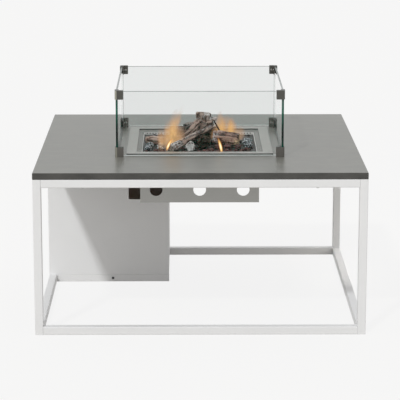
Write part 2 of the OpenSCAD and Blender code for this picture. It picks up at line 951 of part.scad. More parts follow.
// The side panes run the full depth, and the front and rear panes stand between them
pane_mid = guard_w / 2 - glass_t / 2;
pane_inner_w = guard_w - 2 * glass_t - 2 * pane_fit;
module glass_front() { translate([0, -pane_mid, 0]) pane(pane_inner_w, glass_t); }
module glass_rear() { translate([0, pane_mid, 0]) pane(pane_inner_w, glass_t); }
module glass_left() { translate([-pane_mid, 0, 0]) pane(glass_t, guard_w); }
module glass_right() { translate([pane_mid, 0, 0]) pane(glass_t, guard_w); }

// Screw places of one corner's clip: one in each leg's inner wall, with +Z towards the glass
module at_clip_screws() {
    reach = clip_outer - clip_len + clip_screw_in;
    translate([reach, clip_outer - clip_depth, 0])
        rotate([-90, 0, 0])
            children();
    translate([clip_outer - clip_depth, reach, 0])
        rotate([0, 90, 0])
            children();
}

// One corner clip at +X +Y: an angle from one height to another, with a slot for the panes
module corner_clip(low, high, slot_low, slot_high) {
    difference() {
        translate([0, 0, low])
            linear_extrude(high - low)
                polygon(angle_outline(clip_outer, clip_len, clip_depth, clip_corner));
        translate([0, 0, slot_low])
            linear_extrude(slot_high - slot_low)
                polygon(angle_outline(slot_outer, clip_len + over, slot_depth, running_fit));
        translate([0, 0, (low + high) / 2])
            at_clip_screws()
                translate([0, 0, -over])
                    cylinder(r = clip_screw_r + fixed_fit, h = clip_inner + 2 * over);
    }
}

module clips_lower() {
    color(steel)
        for (turn = [0:90:270])
            rotate(turn)
                corner_clip(table_h, table_h + clip_low_h, glass_z, table_h + clip_low_h + over);
}

module clips_upper() {
    color(steel)
        for (turn = [0:90:270])
            rotate(turn)
                corner_clip(clip_high_z, guard_top, clip_high_z - over, guard_top - clip_cap);
}

module clip_screws() {
    color(dark_steel)
        for (turn = [0:90:270], height = [table_h + clip_low_h / 2, guard_top - clip_high_h / 2])
            rotate(turn)
                translate([0, 0, height])
                    at_clip_screws() {
                        translate([0, 0, -clip_head_h])
                            cylinder(r = clip_head_r, h = clip_head_h);
                        cylinder(r = clip_screw_r, h = clip_inner + pane_fit);
                    }
}

// Front panel of the bay: stands on the rails, clears the top rail and the burner box
module bay_front_panel() {
    color(frame_white)
        difference() {
            union() {
                translate([-half_w, bay_y, tube])
                    cube([bay_w, panel_t, frame_h - tube]);
                translate([-half_w, bay_y, tube])
                    cube([panel_t, panel_fold, under_rail - tube]);
            }
            translate([-half_w - over, bay_y - over, under_rail])
                cube([tube + over, panel_t + 2 * over, tube + over]);
            translate([bay_cut_x, bay_y - over, bay_cut_z])
                cube([bay_x - bay_cut_x + over, panel_t + 2 * over, frame_h - bay_cut_z + over]);
        }
}

// Outer panel of the bay, flush with the frame between the rails
module bay_outer_panel() {
    color(frame_white)
        translate([-half_w, bay_y + panel_fold, tube])
            cube([panel_t, half_d - tube - bay_y - panel_fold, under_rail - tube]);
}

// Inner panel of the bay: clears the burner box and the rear top rail
module bay_inner_panel() {
    back = half_d - door_inset;
    color(frame_white)
        difference() {
            translate([bay_x - panel_t, bay_y + panel_t, tube])
                cube([panel_t, back - bay_y - panel_t, frame_h - tube]);
            translate([bay_x - panel_t - over, bay_y - over, bay_cut_z])
                cube([panel_t + 2 * over, bay_cut_y - bay_y + over, frame_h - bay_cut_z + over]);
            translate([bay_x - panel_t - over, half_d - tube, under_rail])
                cube([panel_t + 2 * over, tube + over, tube + over]);
        }
}

// Floor of the bay, on the rails and notched round the rear leg
module bay_floor() {
    color(frame_white)
        difference() {
            translate([-half_w + panel_t, bay_y + panel_t, tube])
                cube([bay_w - 2 * panel_t, bay_d - panel_t - door_inset, panel_t]);
            translate([-half_w - over, half_d - tube, tube - over])
                cube([tube + over, tube + over, panel_t + 2 * over]);
            translate([-half_w - over, bay_y - over, tube - over])
                cube([2 * panel_t, panel_fold + over, panel_t + 2 * over]);
        }
}

// Bay door: a folded pan with pivot blocks and a finger hole
module bay_door() {
    door_w = door_right - door_left;
    door_h = door_high - door_low;
    block_w = pivot_x - door_left + pivot_block / 2;
    color(frame_white)
        difference() {
            union() {
                difference() {
                    translate([door_left, door_back, door_low])
                        cube([door_w, door_depth, door_h]);
                    translate([door_left + panel_t, door_back - over, door_low + panel_t])
                        cube([door_w - 2 * panel_t, door_depth - panel_t + over, door_h - 2 * panel_t]);
                }
                for (low = [door_low, door_high - pivot_depth - 2 * pivot_play])
                    translate([door_left, door_back, low])
                        cube([block_w, door_depth, pivot_depth + 2 * pivot_play]);
            }
            for (low = [door_low - over, door_high - pivot_depth - pivot_play])
                translate([pivot_x, pivot_y, low])
                    cylinder(r = pivot_r + running_fit, h = pivot_depth + pivot_play + over);
            translate([door_right - 2.4 * finger_r, door_face + over, door_low + finger_share * door_h])
                rotate([90, 0, 0])
                    cylinder(r = finger_r, h = panel_t + 2 * over);
        }
}

// Hinge brackets: a plate with a shouldered pin on the bay's floor, and one under the top rail
module hinge_brackets() {
    color(steel)
        for (upper = [0, 1]) {
            plate = upper ? under_rail - bracket_t : bay_floor_z;
            shoulder = upper ? [door_high, plate] : [plate + bracket_t, door_low];
            pin = upper ? [door_high - pivot_depth, plate] : [plate + bracket_t, door_low + pivot_depth];
            translate([pivot_x - pivot_block, pivot_y - pivot_block, plate])
                cube([2 * pivot_block, pivot_block + door_depth / 2, bracket_t]);
            translate([pivot_x, pivot_y, shoulder[0]])
                cylinder(r = pivot_r + 1.5, h = shoulder[1] - shoulder[0]);
            translate([pivot_x, pivot_y, pin[0]])
                cylinder(r = pivot_r, h = pin[1] - pin[0]);
        }
}

// Magnet catch on the inner panel, just behind the door's folded edge
module door_catch() {
    color(dark_steel)
        translate([bay_x - panel_t, door_back - fixed_fit, door_mid - catch_size.z / 2])
            translate([-catch_size.x, -catch_size.y, 0])
                cube(catch_size);
}

leg_front_left();
leg_front_right();
leg_rear_left();
leg_rear_right();
top_rail_front();
top_rail_rear();
top_rail_left();
top_rail_right();
bottom_rail_front();
bottom_rail_rear();
bottom_rail_left();
bottom_rail_right();
bay_rail();
rail_screw();
table_top();
top_screws();
burner_plate();
burner_tray();
ember_deck();
vent_strip();
burner_ring();
mixer_tube();
spark_electrode();
thermocouple();
box_front();
box_rear();
box_left();
box_right();
box_screws();
gas_valve();
hose_nozzle();
valve_stem();
control_knob();
igniter_body();
igniter_button();
log_main();
log_fork();
log_rear();
log_right();
log_left();
log_front();
log_char();
log_twig();
lava_stones();
char_lumps();
glass_front();
glass_rear();
glass_left();
glass_right();
clips_lower();
clips_upper();
clip_screws();
bay_front_panel();
bay_outer_panel();
bay_inner_panel();
bay_floor();
bay_door();
hinge_brackets();
door_catch();
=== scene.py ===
# %% [markdown]
# # A square fire table
# The real object is a low lounge table of white tube with a grey slab on top, and a gas fire in its middle:
# a steel plate, ceramic logs on a dark deck, and a glass guard that keeps the wind off.
# The solid model gives every piece its place. This lesson gives each piece its finish, and rebuilds the few
# pieces whose form is too rough or too fine for solid modelling: the logs, the stones, the panes with their
# ground edges, the clip screws and the flames. Lengths are in metres where nothing else is said.

# %% Load the solid model
import math
import random

import bmesh
import bpy
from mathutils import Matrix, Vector, noise


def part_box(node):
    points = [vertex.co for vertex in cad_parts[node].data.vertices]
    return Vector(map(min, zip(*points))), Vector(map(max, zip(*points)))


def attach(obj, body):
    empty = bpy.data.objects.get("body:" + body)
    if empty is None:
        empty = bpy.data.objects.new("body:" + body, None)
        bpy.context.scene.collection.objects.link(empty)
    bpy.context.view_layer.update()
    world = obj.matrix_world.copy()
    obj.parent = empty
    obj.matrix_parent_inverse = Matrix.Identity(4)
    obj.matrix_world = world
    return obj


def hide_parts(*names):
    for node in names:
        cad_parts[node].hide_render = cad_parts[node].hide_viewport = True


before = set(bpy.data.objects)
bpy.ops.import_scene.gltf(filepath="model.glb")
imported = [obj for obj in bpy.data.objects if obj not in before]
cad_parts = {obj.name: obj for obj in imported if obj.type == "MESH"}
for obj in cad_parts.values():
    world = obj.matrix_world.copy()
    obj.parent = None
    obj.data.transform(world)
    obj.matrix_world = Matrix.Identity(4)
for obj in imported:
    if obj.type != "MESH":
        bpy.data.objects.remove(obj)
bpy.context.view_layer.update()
scene = bpy.context.scene

# %% [markdown]
# ## Camera
# The photograph was taken from about six metres with a long lens, a little above the table. The camera could be
# set by eye, but then the edges would lie some pixels off. So its place, tilt and focal length were worked out
# from the table's corners, and the render can be laid over the photo.

# %% Set the camera
PHOTO_SIDE = 400
FOCAL_PIXELS = 1868
SENSOR = 36.0
CAMERA_PLACE = (-0.044, -5.926, 1.639)
# In degrees
LOOK_DOWN, LOOK_RIGHT = 12.68, 0.45

camera_data = bpy.data.cameras.new("photo_camera")
camera_data.sensor_width = SENSOR
camera_data.lens = SENSOR * FOCAL_PIXELS / PHOTO_SIDE
camera = bpy.data.objects.new("photo_camera", camera_data)
camera.location = CAMERA_PLACE
camera.rotation_euler = (math.radians(90 - LOOK_DOWN), 0, math.radians(-LOOK_RIGHT))
scene.collection.objects.link(camera)
scene.camera = camera
scene.view_settings.view_transform = "Standard"
print("lens", round(camera_data.lens, 1), "mm")

# %% [markdown]
# ## Shader sums
# A finish is a tree of nodes. It could be wired up node by node, but then a short sum fills half a page.
# Here a Wire holds one socket of a tree, and each operator on it adds one Math node, so a sum of noises reads as
# a sum. A Finish holds the whole tree, and has one method that adds any other node.


# %% Define the wires
class Wire:
    """A shader socket that takes part in Python sums."""

    def __init__(self, finish, socket):
        self.finish = finish
        self.socket = socket

    def maths(self, operation, *values):
        return self.finish.node("ShaderNodeMath", {"operation": operation}, dict(enumerate(values)))

    def __add__(self, other):
        return self.maths("ADD", self, other)

    def __sub__(self, other):
        return self.maths("SUBTRACT", self, other)

    def __rsub__(self, other):
        return self.maths("SUBTRACT", other, self)

    def __mul__(self, other):
        return self.maths("MULTIPLY", self, other)

    def __gt__(self, other):
        return self.maths("GREATER_THAN", self, other)

    def __lt__(self, other):
        return self.maths("LESS_THAN", self, other)

    __radd__ = __add__
    __rmul__ = __mul__


print("wires are ready")


# %% Define the finishes
def grey(level):
    return (level, level, level)


def set_stops(ramp, stops):
    """Leaves one stop on a ramp, and sets it and the others from pairs of a position and a colour."""
    for extra in list(ramp.elements)[1:]:
        ramp.elements.remove(extra)
    ramp.elements[0].position = stops[0][0]
    ramp.elements[0].color = (*stops[0][1], 1)
    for position, colour in stops[1:]:
        ramp.elements.new(position).color = (*colour, 1)


class Finish:
    """The node tree of a material or of the world. Colours have three parts, and their alpha is always 1."""

    def __init__(self, owner):
        self.owner = owner
        owner.use_nodes = True
        self.tree = owner.node_tree
        self.tree.nodes.clear()

    def node(self, kind, settings=None, inputs=None, out=0):
        """Adds a node, sets it up, feeds its sockets and returns one of its outputs."""
        made = self.tree.nodes.new(kind)
        for key, value in (settings or {}).items():
            if key == "stops":
                set_stops(made.color_ramp, value)
            else:
                setattr(made, key, value)
        for key, value in (inputs or {}).items():
            socket = made.inputs[key]
            if isinstance(value, Wire):
                self.tree.links.new(value.socket, socket)
            elif socket.type == "RGBA":
                socket.default_value = (*value, 1)
            else:
                socket.default_value = value
        return Wire(self, made.outputs[out]) if made.outputs else None

    def place(self):
        return self.node("ShaderNodeTexCoord", out="Object")

    def stretched(self, scale, turn=(0, 0, 0)):
        """Object coordinates, scaled apart on each axis, to draw out a pattern."""
        return self.node("ShaderNodeMapping", {}, {"Vector": self.place(), "Rotation": turn, "Scale": scale})

    def cloud(self, scale=1.0, detail=3.0, rough=0.5, vector=None):
        """A noise from about 0 to 1."""
        inputs = {"Vector": vector or self.place(), "Scale": scale, "Detail": detail, "Roughness": rough}
        return self.node("ShaderNodeTexNoise", {}, inputs, out="Fac")

    def ramp(self, value, *stops):
        return self.node("ShaderNodeValToRGB", {"stops": stops}, {"Fac": value})

    def blend(self, share, one, other):
        """A colour between two others, by a share from 0 to 1."""
        return self.node("ShaderNodeMix", {"data_type": "RGBA"}, {0: share, 6: one, 7: other}, out=2)

    def parts(self, vector):
        """The three parts of a place or a direction."""
        apart = self.node("ShaderNodeSeparateXYZ", {}, {0: vector}).socket.node.outputs
        return [Wire(self, part) for part in apart]

    def normal(self):
        """The three parts of the way that a surface faces."""
        return self.parts(self.node("ShaderNodeNewGeometry", out="Normal"))

    def given(self, name):
        """A number that the mesh carries for each of its points."""
        return self.node("ShaderNodeAttribute", {"attribute_name": name}, out="Fac")

    def bump(self, height, strength, distance):
        inputs = {"Height": height, "Strength": strength, "Distance": distance}
        return self.node("ShaderNodeBump", {}, inputs)

    def skin(self, **values):
        """Ends the tree in a Principled shader. Names with underscores stand for the socket names."""
        inputs = {key.replace("_", " "): value for key, value in values.items()}
        shader = self.node("ShaderNodeBsdfPrincipled", {}, inputs)
        self.node("ShaderNodeOutputMaterial", {}, {"Surface": shader})
        return self.owner


def new_finish(name):
    return Finish(bpy.data.materials.new(name))


print("finishes are ready")

# %% [markdown]
# ## Studio
# The photo has an even white ground and a clear light from the front left, which draws a slanting shadow on the
# bay's panel. One large soft lamp would be simpler, but it would lose that shadow. So a sun lamp draws it, the
# world fills the rest, and a soft box behind lifts the rear of the slab. Two small lamps at the right stand for
# the light that a pale wall throws under the table, on the rear leg and the lower rail. A faint warm lamp in the
# bay gives the brown that shows through the panel's cut-out.

# %% Light the studio
FILL_STRENGTH = 0.68
GROUND = grey(0.925)
DAY_TINT, WALL_TINT, BAY_TINT = (0.98, 0.99, 1), (1, 0.97, 0.92), (1, 0.32, 0.03)
KEY_PLACE, KEY_TRAVEL = Vector((0, 0, 3)), Vector((0.415, 0.9, -1.0))
BOX_PLACE, BOX_AIM = Vector((0.0, 1.2, 1.9)), Vector((0.0, 0.3, 0.5))
SIDE_PLACE, SIDE_AIM = Vector((1.3, -0.36, 0.42)), Vector((0.66, 0.45, 0.12))
RAIL_PLACE, RAIL_AIM = Vector((0.74, 0.22, 1.0)), Vector((0.4875, 0.22, 0.02))
BAY_PLACE, DOWN = Vector((-0.3, 0.3, 0.3)), Vector((0, 0, -1))


def hang_lamp(name, kind, place, travel, tint=grey(1), **values):
    """A lamp that shines along its travel. The values go to the lamp's settings of the same names."""
    data = bpy.data.lights.new(name, kind)
    data.color = tint
    for key, value in values.items():
        setattr(data, key, value)
    lamp = bpy.data.objects.new(name, data)
    lamp.location = place
    lamp.rotation_euler = travel.to_track_quat("-Z", "Y").to_euler()
    scene.collection.objects.link(lamp)


side_beam = {"energy": 0.2, "size": 0.3, "spread": math.radians(50)}
rail_beam = {"energy": 0.11, "shape": "RECTANGLE", "size": 0.5, "size_y": 0.02, "spread": math.radians(20)}
hang_lamp("key", "SUN", KEY_PLACE, KEY_TRAVEL, DAY_TINT, energy=1.5, angle=math.radians(4))
hang_lamp("soft_box", "AREA", BOX_PLACE, BOX_AIM - BOX_PLACE, energy=4.0, size=1.6)
hang_lamp("side_fill", "AREA", SIDE_PLACE, SIDE_AIM - SIDE_PLACE, WALL_TINT, **side_beam)
hang_lamp("rail_fill", "AREA", RAIL_PLACE, RAIL_AIM - RAIL_PLACE, WALL_TINT, **rail_beam)
hang_lamp("bay_glow", "POINT", BAY_PLACE, DOWN, BAY_TINT, energy=0.009, shadow_soft_size=0.05)


# %% Fill the room
def seen_ray(finish):
    """1 for rays that the camera, a gloss or a glass sends, and 0 for rays that light a surface."""
    camera_ray = finish.node("ShaderNodeLightPath", out="Is Camera Ray")
    outputs = camera_ray.socket.node.outputs
    gloss_ray, glass_ray = Wire(finish, outputs["Is Glossy Ray"]), Wire(finish, outputs["Is Transmission Ray"])
    seen = camera_ray.maths("MAXIMUM", camera_ray, gloss_ray)
    return seen.maths("MAXIMUM", seen, glass_ray)


sky = Finish(bpy.data.worlds.new("studio"))
scene.world = sky.owner
fill = sky.node("ShaderNodeBackground", {}, {"Color": grey(1), "Strength": FILL_STRENGTH})
ground = sky.node("ShaderNodeBackground", {}, {"Color": GROUND, "Strength": 1.0})
both = sky.node("ShaderNodeMixShader", {}, {0: seen_ray(sky), 1: fill, 2: ground})
sky.node("ShaderNodeOutputWorld", {}, {"Surface": both})
print("world:", scene.world.name)

# %% [markdown]
# ## Floor
# The table stands on a white floor that runs into the ground with no edge. Lamps that make a floor so white would
# burn out the white table. So the floor shows its white by itself to the camera, to gloss and through glass, and
# keeps a faint shadow. The light that it throws up on the table is slightly warm, as the photo's shaded sides are.

# %% Lay the floor
FLOOR_REACH = 40.0
FLOOR_MATT = (0.62, 0.60, 0.565)
GLOW_SHARE, GLOW_STRENGTH = 0.9, 1.035


def floor_finish():
    f = new_finish("studio_floor")
    matt = f.node("ShaderNodeBsdfDiffuse", {}, {"Color": FLOOR_MATT})
    glow = f.node("ShaderNodeEmission", {}, {"Color": GROUND, "Strength": GLOW_STRENGTH})
    mixed = f.node("ShaderNodeMixShader", {}, {0: seen_ray(f) * GLOW_SHARE, 1: matt, 2: glow})
    f.node("ShaderNodeOutputMaterial", {}, {"Surface": mixed})
    return f.owner


def new_piece(name, points, faces, *materials, smooth=False):
    """A mesh object in the model's own frame."""
    mesh = bpy.data.meshes.new(name)
    mesh.from_pydata(points, [], faces)
    for material in materials:
        mesh.materials.append(material)
    if smooth:
        mesh.polygons.foreach_set("use_smooth", [True] * len(faces))
    piece = bpy.data.objects.new(name, mesh)
    scene.collection.objects.link(piece)
    return piece


corners = [(x * FLOOR_REACH, y * FLOOR_REACH, 0) for x, y in ((-1, -1), (1, -1), (1, 1), (-1, 1))]
floor = new_piece("studio_floor", corners, [(0, 1, 2, 3)], floor_finish())
print("floor reaches", FLOOR_REACH, "m each way")

# %% [markdown]
# ## White powder coat
# The frame and the bay's panels are steel with a baked powder coat: almost white, half gloss, with the fine
# orange-peel that powder leaves. The peel could be modelled, but it is far finer than a millimetre, so a very
# small noise as bump is enough. A slow noise keeps the white from being flat.


# %% Make the powder coat
def powder_coat(name, level):
    f = new_finish(name)
    slow = f.cloud(scale=7)
    peel = f.cloud(scale=700, detail=2)
    return f.skin(
        Base_Color=f.blend(slow, grey(level - 0.02), grey(level + 0.02)),
        Roughness=0.34 + 0.12 * slow,
        Normal=f.bump(peel, strength=0.05, distance=0.0003),
    )


def dress(material, *nodes):
    """Gives CAD nodes a finish."""
    for name in nodes:
        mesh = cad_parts[name].data
        mesh.materials.clear()
        mesh.materials.append(material)


TUBES = [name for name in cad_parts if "leg_" in name or "rail_" in name and "screw" not in name]
PANELS = [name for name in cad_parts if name.startswith("bay_")]
# The panels get a whiter coat than the tubes. This is painted light, which brightens the panels standing under the
# slab.
TUBE_WHITE, PANEL_WHITE_PAINTED_LIGHT = 0.775, 0.84
dress(powder_coat("white_coat_tube", TUBE_WHITE), *TUBES)
dress(powder_coat("white_coat_sheet", PANEL_WHITE_PAINTED_LIGHT), *PANELS)
print("powder coat on", len(TUBES), "tubes and", len(PANELS), "panels")

# %% [markdown]
# ## Grey slab
# The top is a grey slab with a fine cloudy mottle, drawn out a little from left to right, and a darker edge. A
# picture of stone could be laid on it, but a picture repeats and blurs. A noise that is stretched along X does
# neither. The edge differs by the way it faces, so the normal's height picks its greys.

# %% Make the slab
LEVEL_FACE = 0.85


def slab_finish():
    f = new_finish("grey_slab")
    streak = f.cloud(detail=6, rough=0.66, vector=f.stretched((13, 28, 28)))
    speck = f.cloud(scale=420, rough=0.6)
    mottle = 0.7 * streak + 0.3 * speck
    face = f.ramp(
        mottle, (0.36, (0.100, 0.100, 0.089)), (0.5, (0.127, 0.127, 0.111)), (0.64, (0.160, 0.159, 0.140)),
    )
    edge = f.ramp(mottle, (0.4, (0.041, 0.040, 0.036)), (0.6, (0.068, 0.066, 0.060)))
    return f.skin(
        Base_Color=f.blend(f.normal()[2] > LEVEL_FACE, edge, face),
        Roughness=0.24 + 0.16 * mottle,
        Specular_IOR_Level=0.45,
        Normal=f.bump(speck, strength=0.08, distance=0.0004),
    )


dress(slab_finish(), "table_top")
print("slab dressed")

# %% [markdown]
# ## Steel
# The plate, the clips and the box are brushed stainless steel. Brushing leaves fine lines along one direction.
# A shader with a stretched gloss could show them, but an export loses it, so a noise drawn out along one axis
# drives the colour, the roughness and a small bump. The plate's sides are painted dark, as painted shade and a
# painted reflection of the dark slab. The clips' bent corners get a painted highlight and their top faces painted
# shade, so the way that a surface faces picks a second colour. The lower clips are painted lighter than the upper,
# as painted light from the slab and the fire.

# %% Make the steels
LINES_ALONG_X, LINES_ALONG_Z = (6, 900, 900), (900, 900, 8)
LINE_DARK, LINE_LIGHT = 0.86, 1.1
FACES_UP = 0.6
FACES_CORNER = 0.2


def shaded(colour, share):
    """A colour made darker or lighter."""
    return tuple(share * part for part in colour)


def brushed_steel(name, colour, roughness, lines=LINES_ALONG_X, **accents):
    """Brushed metal. Each accent is a test of the way a surface faces and the colour painted there as light or
    shade.
    """
    f = new_finish(name)
    brush = f.cloud(detail=4, rough=0.7, vector=f.stretched(lines))
    wear = f.cloud(scale=18)
    metal = f.blend(brush, shaded(colour, LINE_DARK), shaded(colour, LINE_LIGHT))
    for where, accent in accents.values():
        metal = f.blend(where(f), metal, accent)
    return f.skin(
        Base_Color=metal,
        Metallic=1.0,
        Roughness=roughness - 0.08 + 0.16 * brush + 0.08 * wear,
        Normal=f.bump(brush, strength=0.05, distance=0.0002),
    )


def on_side(f):
    return f.normal()[2] < FACES_UP


def on_top(f):
    return f.normal()[2] > FACES_UP


def on_bend(f):
    x, y, _ = f.normal()
    return x * y > FACES_CORNER


def clip_steel(name, colour):
    # Painted light on the clips: the bent corners get a painted highlight, and the top faces are painted dark as
    # shade.
    bends, tops = (on_bend, (0.38, 0.37, 0.31)), (on_top, (0.05, 0.05, 0.047))
    return brushed_steel(name, colour, roughness=0.36, lines=LINES_ALONG_Z, bends=bends, tops=tops)


# The plate's sides, all that face more sideways than up, are painted dark as shade and as a reflection of the dark
# slab.
painted_shade_edges = (on_side, (0.10, 0.10, 0.095))
plate_steel = brushed_steel("plate_steel", (0.345, 0.345, 0.325), roughness=0.42, edges=painted_shade_edges)
box_steel = brushed_steel("box_steel", (0.37, 0.365, 0.345), roughness=0.45)
dress(plate_steel, "burner_plate")
# The lower clips get a lighter copy of the clip steel: painted light from the slab and the fire beside them.
dress(clip_steel("clip_steel_lower_painted_lit", (0.185, 0.176, 0.160)), "clips_lower")
dress(clip_steel("clip_steel_upper", (0.110, 0.107, 0.096)), "clips_upper")
dress(box_steel, "box_front", "box_rear", "box_left", "box_right", "burner_ring", "mixer_tube", "hinge_brackets")
screw_steel = brushed_steel("screw_steel", (0.5, 0.5, 0.48), roughness=0.3)
dress(screw_steel, "valve_stem", "top_screws", "box_screws")
print("steels dressed")

# %% [markdown]
# ## Burner tray, deck and controls
# The tray is coated grey and the deck black, so that heat marks don't show. The knob and the igniter are black
# plastic with a red button, the valve, the nozzle and the thermocouple are brass, and the electrode has a white
# glaze. Each could have a tree of its own, but they differ only in colour, gloss and grain, so one coat does.


# %% Make the smaller finishes
def coated(name, low, high, roughness, grain_scale=300, **more):
    """A plain coat whose colour drifts between two others, with a fine grain."""
    f = new_finish(name)
    slow = f.cloud(scale=14, detail=4)
    grain = f.cloud(scale=grain_scale)
    return f.skin(
        Base_Color=f.blend(slow, low, high),
        Roughness=roughness - 0.08 + 0.16 * grain,
        Normal=f.bump(grain, strength=0.1, distance=0.0004),
        **more,
    )


dress(coated("tray_grey", (0.155, 0.155, 0.143), (0.21, 0.21, 0.195), roughness=0.5), "burner_tray")
dress(coated("strip_grey", (0.62, 0.62, 0.60), (0.74, 0.74, 0.72), roughness=0.4), "vent_strip")
dress(coated("deck_black", (0.024, 0.023, 0.022), (0.048, 0.047, 0.044), roughness=0.6), "ember_deck")
dress(coated("bolt_black", grey(0.012), grey(0.03), roughness=0.4), "rail_screw", "door_catch")
knob_black = coated("knob_black", grey(0.012), grey(0.02), roughness=0.45, grain_scale=900)
dress(knob_black, "control_knob", "igniter_body")
dress(coated("button_red", (0.42, 0.025, 0.012), (0.5, 0.035, 0.018), roughness=0.25), "igniter_button")
brass = coated("brass", (0.47, 0.32, 0.10), (0.58, 0.41, 0.15), roughness=0.3, Metallic=1.0)
dress(brass, "gas_valve", "hose_nozzle", "thermocouple")
dress(coated("white_glaze", (0.74, 0.72, 0.66), (0.82, 0.80, 0.75), roughness=0.15), "spark_electrode")
print("small finishes dressed")

# %% [markdown]
# ## Glass guard
# Each pane is six millimetres of float glass with ground edges. Its faces are nearly clear, with a faint green.
# A front edge looks dark green, because one looks along half a metre of glass, a top edge looks grey, and the
# edges at the back pass the white of the room. A glass shader could find all this by bending light, but it is
# noisy in so thin a pane, and an export loses it. So a pane is partly see-through, and each kind of edge has a
# finish of its own.

# %% Make the glass
FACE_GREEN = (0.006, 0.135, 0.088), (0.010, 0.150, 0.105)


def glass(name, low, high, alpha, roughness=0.03):
    f = new_finish(name)
    slow = f.cloud(scale=25, detail=2, vector=f.stretched((1, 1, 0.4)))
    shade = f.ramp(slow, (0.38, low), (0.62, high))
    return f.skin(Base_Color=shade, Roughness=roughness, Alpha=alpha, IOR=1.5, Specular_IOR_Level=0.5)


def green_edge():
    """Seen along the pane, the glass is green above, black where it mirrors the slab, and green at its foot."""
    f = new_finish("glass_front_edge")
    low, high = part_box("glass_left")
    slow = f.cloud(scale=25, detail=2)
    share = (f.parts(f.place())[2] - low.z) * (1 / (high.z - low.z)) + 0.1 * (slow - 0.5)
    shade = f.ramp(
        share,
        (0.08, (0.001, 0.100, 0.060)), (0.2, (0.001, 0.026, 0.016)), (0.33, (0.001, 0.004, 0.003)),
        (0.48, (0.001, 0.028, 0.018)), (0.7, (0.001, 0.105, 0.062)), (0.9, (0.001, 0.040, 0.025)),
    )
    return f.skin(Base_Color=shade, Roughness=0.3, Alpha=0.97, IOR=1.5, Specular_IOR_Level=0.05)


GLASS = {
    "face": glass("glass_face", *FACE_GREEN, alpha=0.075),
    "front_edge": green_edge(),
    "top_edge": glass("glass_top_edge", (0.10, 0.12, 0.115), (0.19, 0.21, 0.20), alpha=0.92, roughness=0.3),
    "back_edge": glass("glass_back_edge", (0.80, 0.84, 0.83), (0.88, 0.91, 0.90), alpha=0.3, roughness=0.3),
    "foot": glass("glass_foot", (0.72, 0.75, 0.73), (0.82, 0.85, 0.83), alpha=0.9, roughness=0.35),
    "side_foot": glass("glass_side_foot", (0.06, 0.065, 0.06), (0.09, 0.095, 0.09), alpha=0.8, roughness=0.35),
}
# The front pane's face is clearer than the others as a painted reflection: it stands in for the white room that it
# mirrors.
CLEARER_FACE = glass("glass_front_face", *FACE_GREEN, alpha=0.03)
print("glass finishes:", len(GLASS) + 1)

# %% [markdown]
# ## Panes
# A plain box would do for a pane, but its sharp edges catch no light. So each box gets a small arris, as ground
# glass has, and a cut just above its foot, which shows as a thin line in the photo. The way that a side faces
# picks its finish, and an arris at the front counts as front edge.

# %% Build the panes
PANE_ARRIS = 0.0008
FOOT_BAND = 0.002
FLAT_ON, UP_OR_DOWN, TO_FRONT = 0.99, 0.5, -0.2
# The axis that each pane is thin along: 0 for X and 1 for Y
PANES = {"glass_front": 1, "glass_rear": 1, "glass_left": 0, "glass_right": 0}


def pane_finish(normal, thin_axis, at_foot):
    """Which of the glass finishes a side of a pane gets."""
    side_pane = thin_axis == 0
    if abs(normal[thin_axis]) > FLAT_ON:
        if at_foot:
            return "side_foot" if side_pane else "foot"
        return "face"
    if normal.z > UP_OR_DOWN:
        return "top_edge"
    if normal.z < -UP_OR_DOWN:
        return "side_foot" if side_pane else "back_edge"
    return "front_edge" if normal.y < TO_FRONT else "back_edge"


def build_pane(node, thin_axis):
    low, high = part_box(node)
    points = [(x, y, z) for x in (low.x, high.x) for y in (low.y, high.y) for z in (low.z, high.z)]
    sides = [(0, 1, 3, 2), (4, 6, 7, 5), (0, 4, 5, 1), (2, 3, 7, 6), (0, 2, 6, 4), (1, 5, 7, 3)]
    names, finishes = list(GLASS), list(GLASS.values())
    # The front pane takes the clearer face, a painted reflection of the white room.
    if node == "glass_front":
        finishes[0] = CLEARER_FACE
    pane = new_piece("pane_" + node, points, sides, *finishes)
    cage = bmesh.new()
    cage.from_mesh(pane.data)
    bmesh.ops.bevel(cage, geom=cage.edges[:], offset=PANE_ARRIS, segments=2, profile=0.5, affect="EDGES")
    foot_z = low.z + FOOT_BAND
    every = cage.verts[:] + cage.edges[:] + cage.faces[:]
    bmesh.ops.bisect_plane(cage, geom=every, plane_co=(0, 0, foot_z), plane_no=(0, 0, 1))
    for side in cage.faces:
        at_foot = side.calc_center_median().z < foot_z
        side.material_index = names.index(pane_finish(side.normal, thin_axis, at_foot))
    cage.to_mesh(pane.data)
    cage.free()
    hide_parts(node)
    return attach(pane, "glass_guard")


for node, thin_axis in PANES.items():
    build_pane(node, thin_axis)
print("panes built:", len(PANES))

# %% [markdown]
# ## Clip screws
# Each clip is held by two small socket screws from the inside, and they catch the light in the photo. The solid
# screws have plain heads. A socket could be cut out of them, but a real head is turned, so a profile is turned
# about an axis here, and its inner rings are pressed into a hexagon. The heads go where the solid ones are, which
# are found as the separate islands of their mesh. The shafts stay out, because the clips hide them.


# %% Find the screws
def islands(node):
    """Lowest and highest corner of each separate body in a CAD node."""
    cage = bmesh.new()
    cage.from_mesh(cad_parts[node].data)
    bmesh.ops.remove_doubles(cage, verts=cage.verts, dist=1e-6)
    left, found = set(cage.verts), []
    while left:
        todo, group = [left.pop()], []
        while todo:
            point = todo.pop()
            group.append(point.co.copy())
            near = [e.other_vert(point) for e in point.link_edges]
            fresh = [v for v in near if v in left]
            left.difference_update(fresh)
            todo.extend(fresh)
        found.append(tuple(Vector(pick(c[axis] for c in group) for axis in range(3)) for pick in (min, max)))
    cage.free()
    return sorted(found, key=lambda pair: tuple(round(v, 5) for v in pair[0]))


print("screws found:", len(islands("clip_screws")))

# %% Build the screws
SCREW_SIDES = 24
SCREW_SHAFT = 0.0033
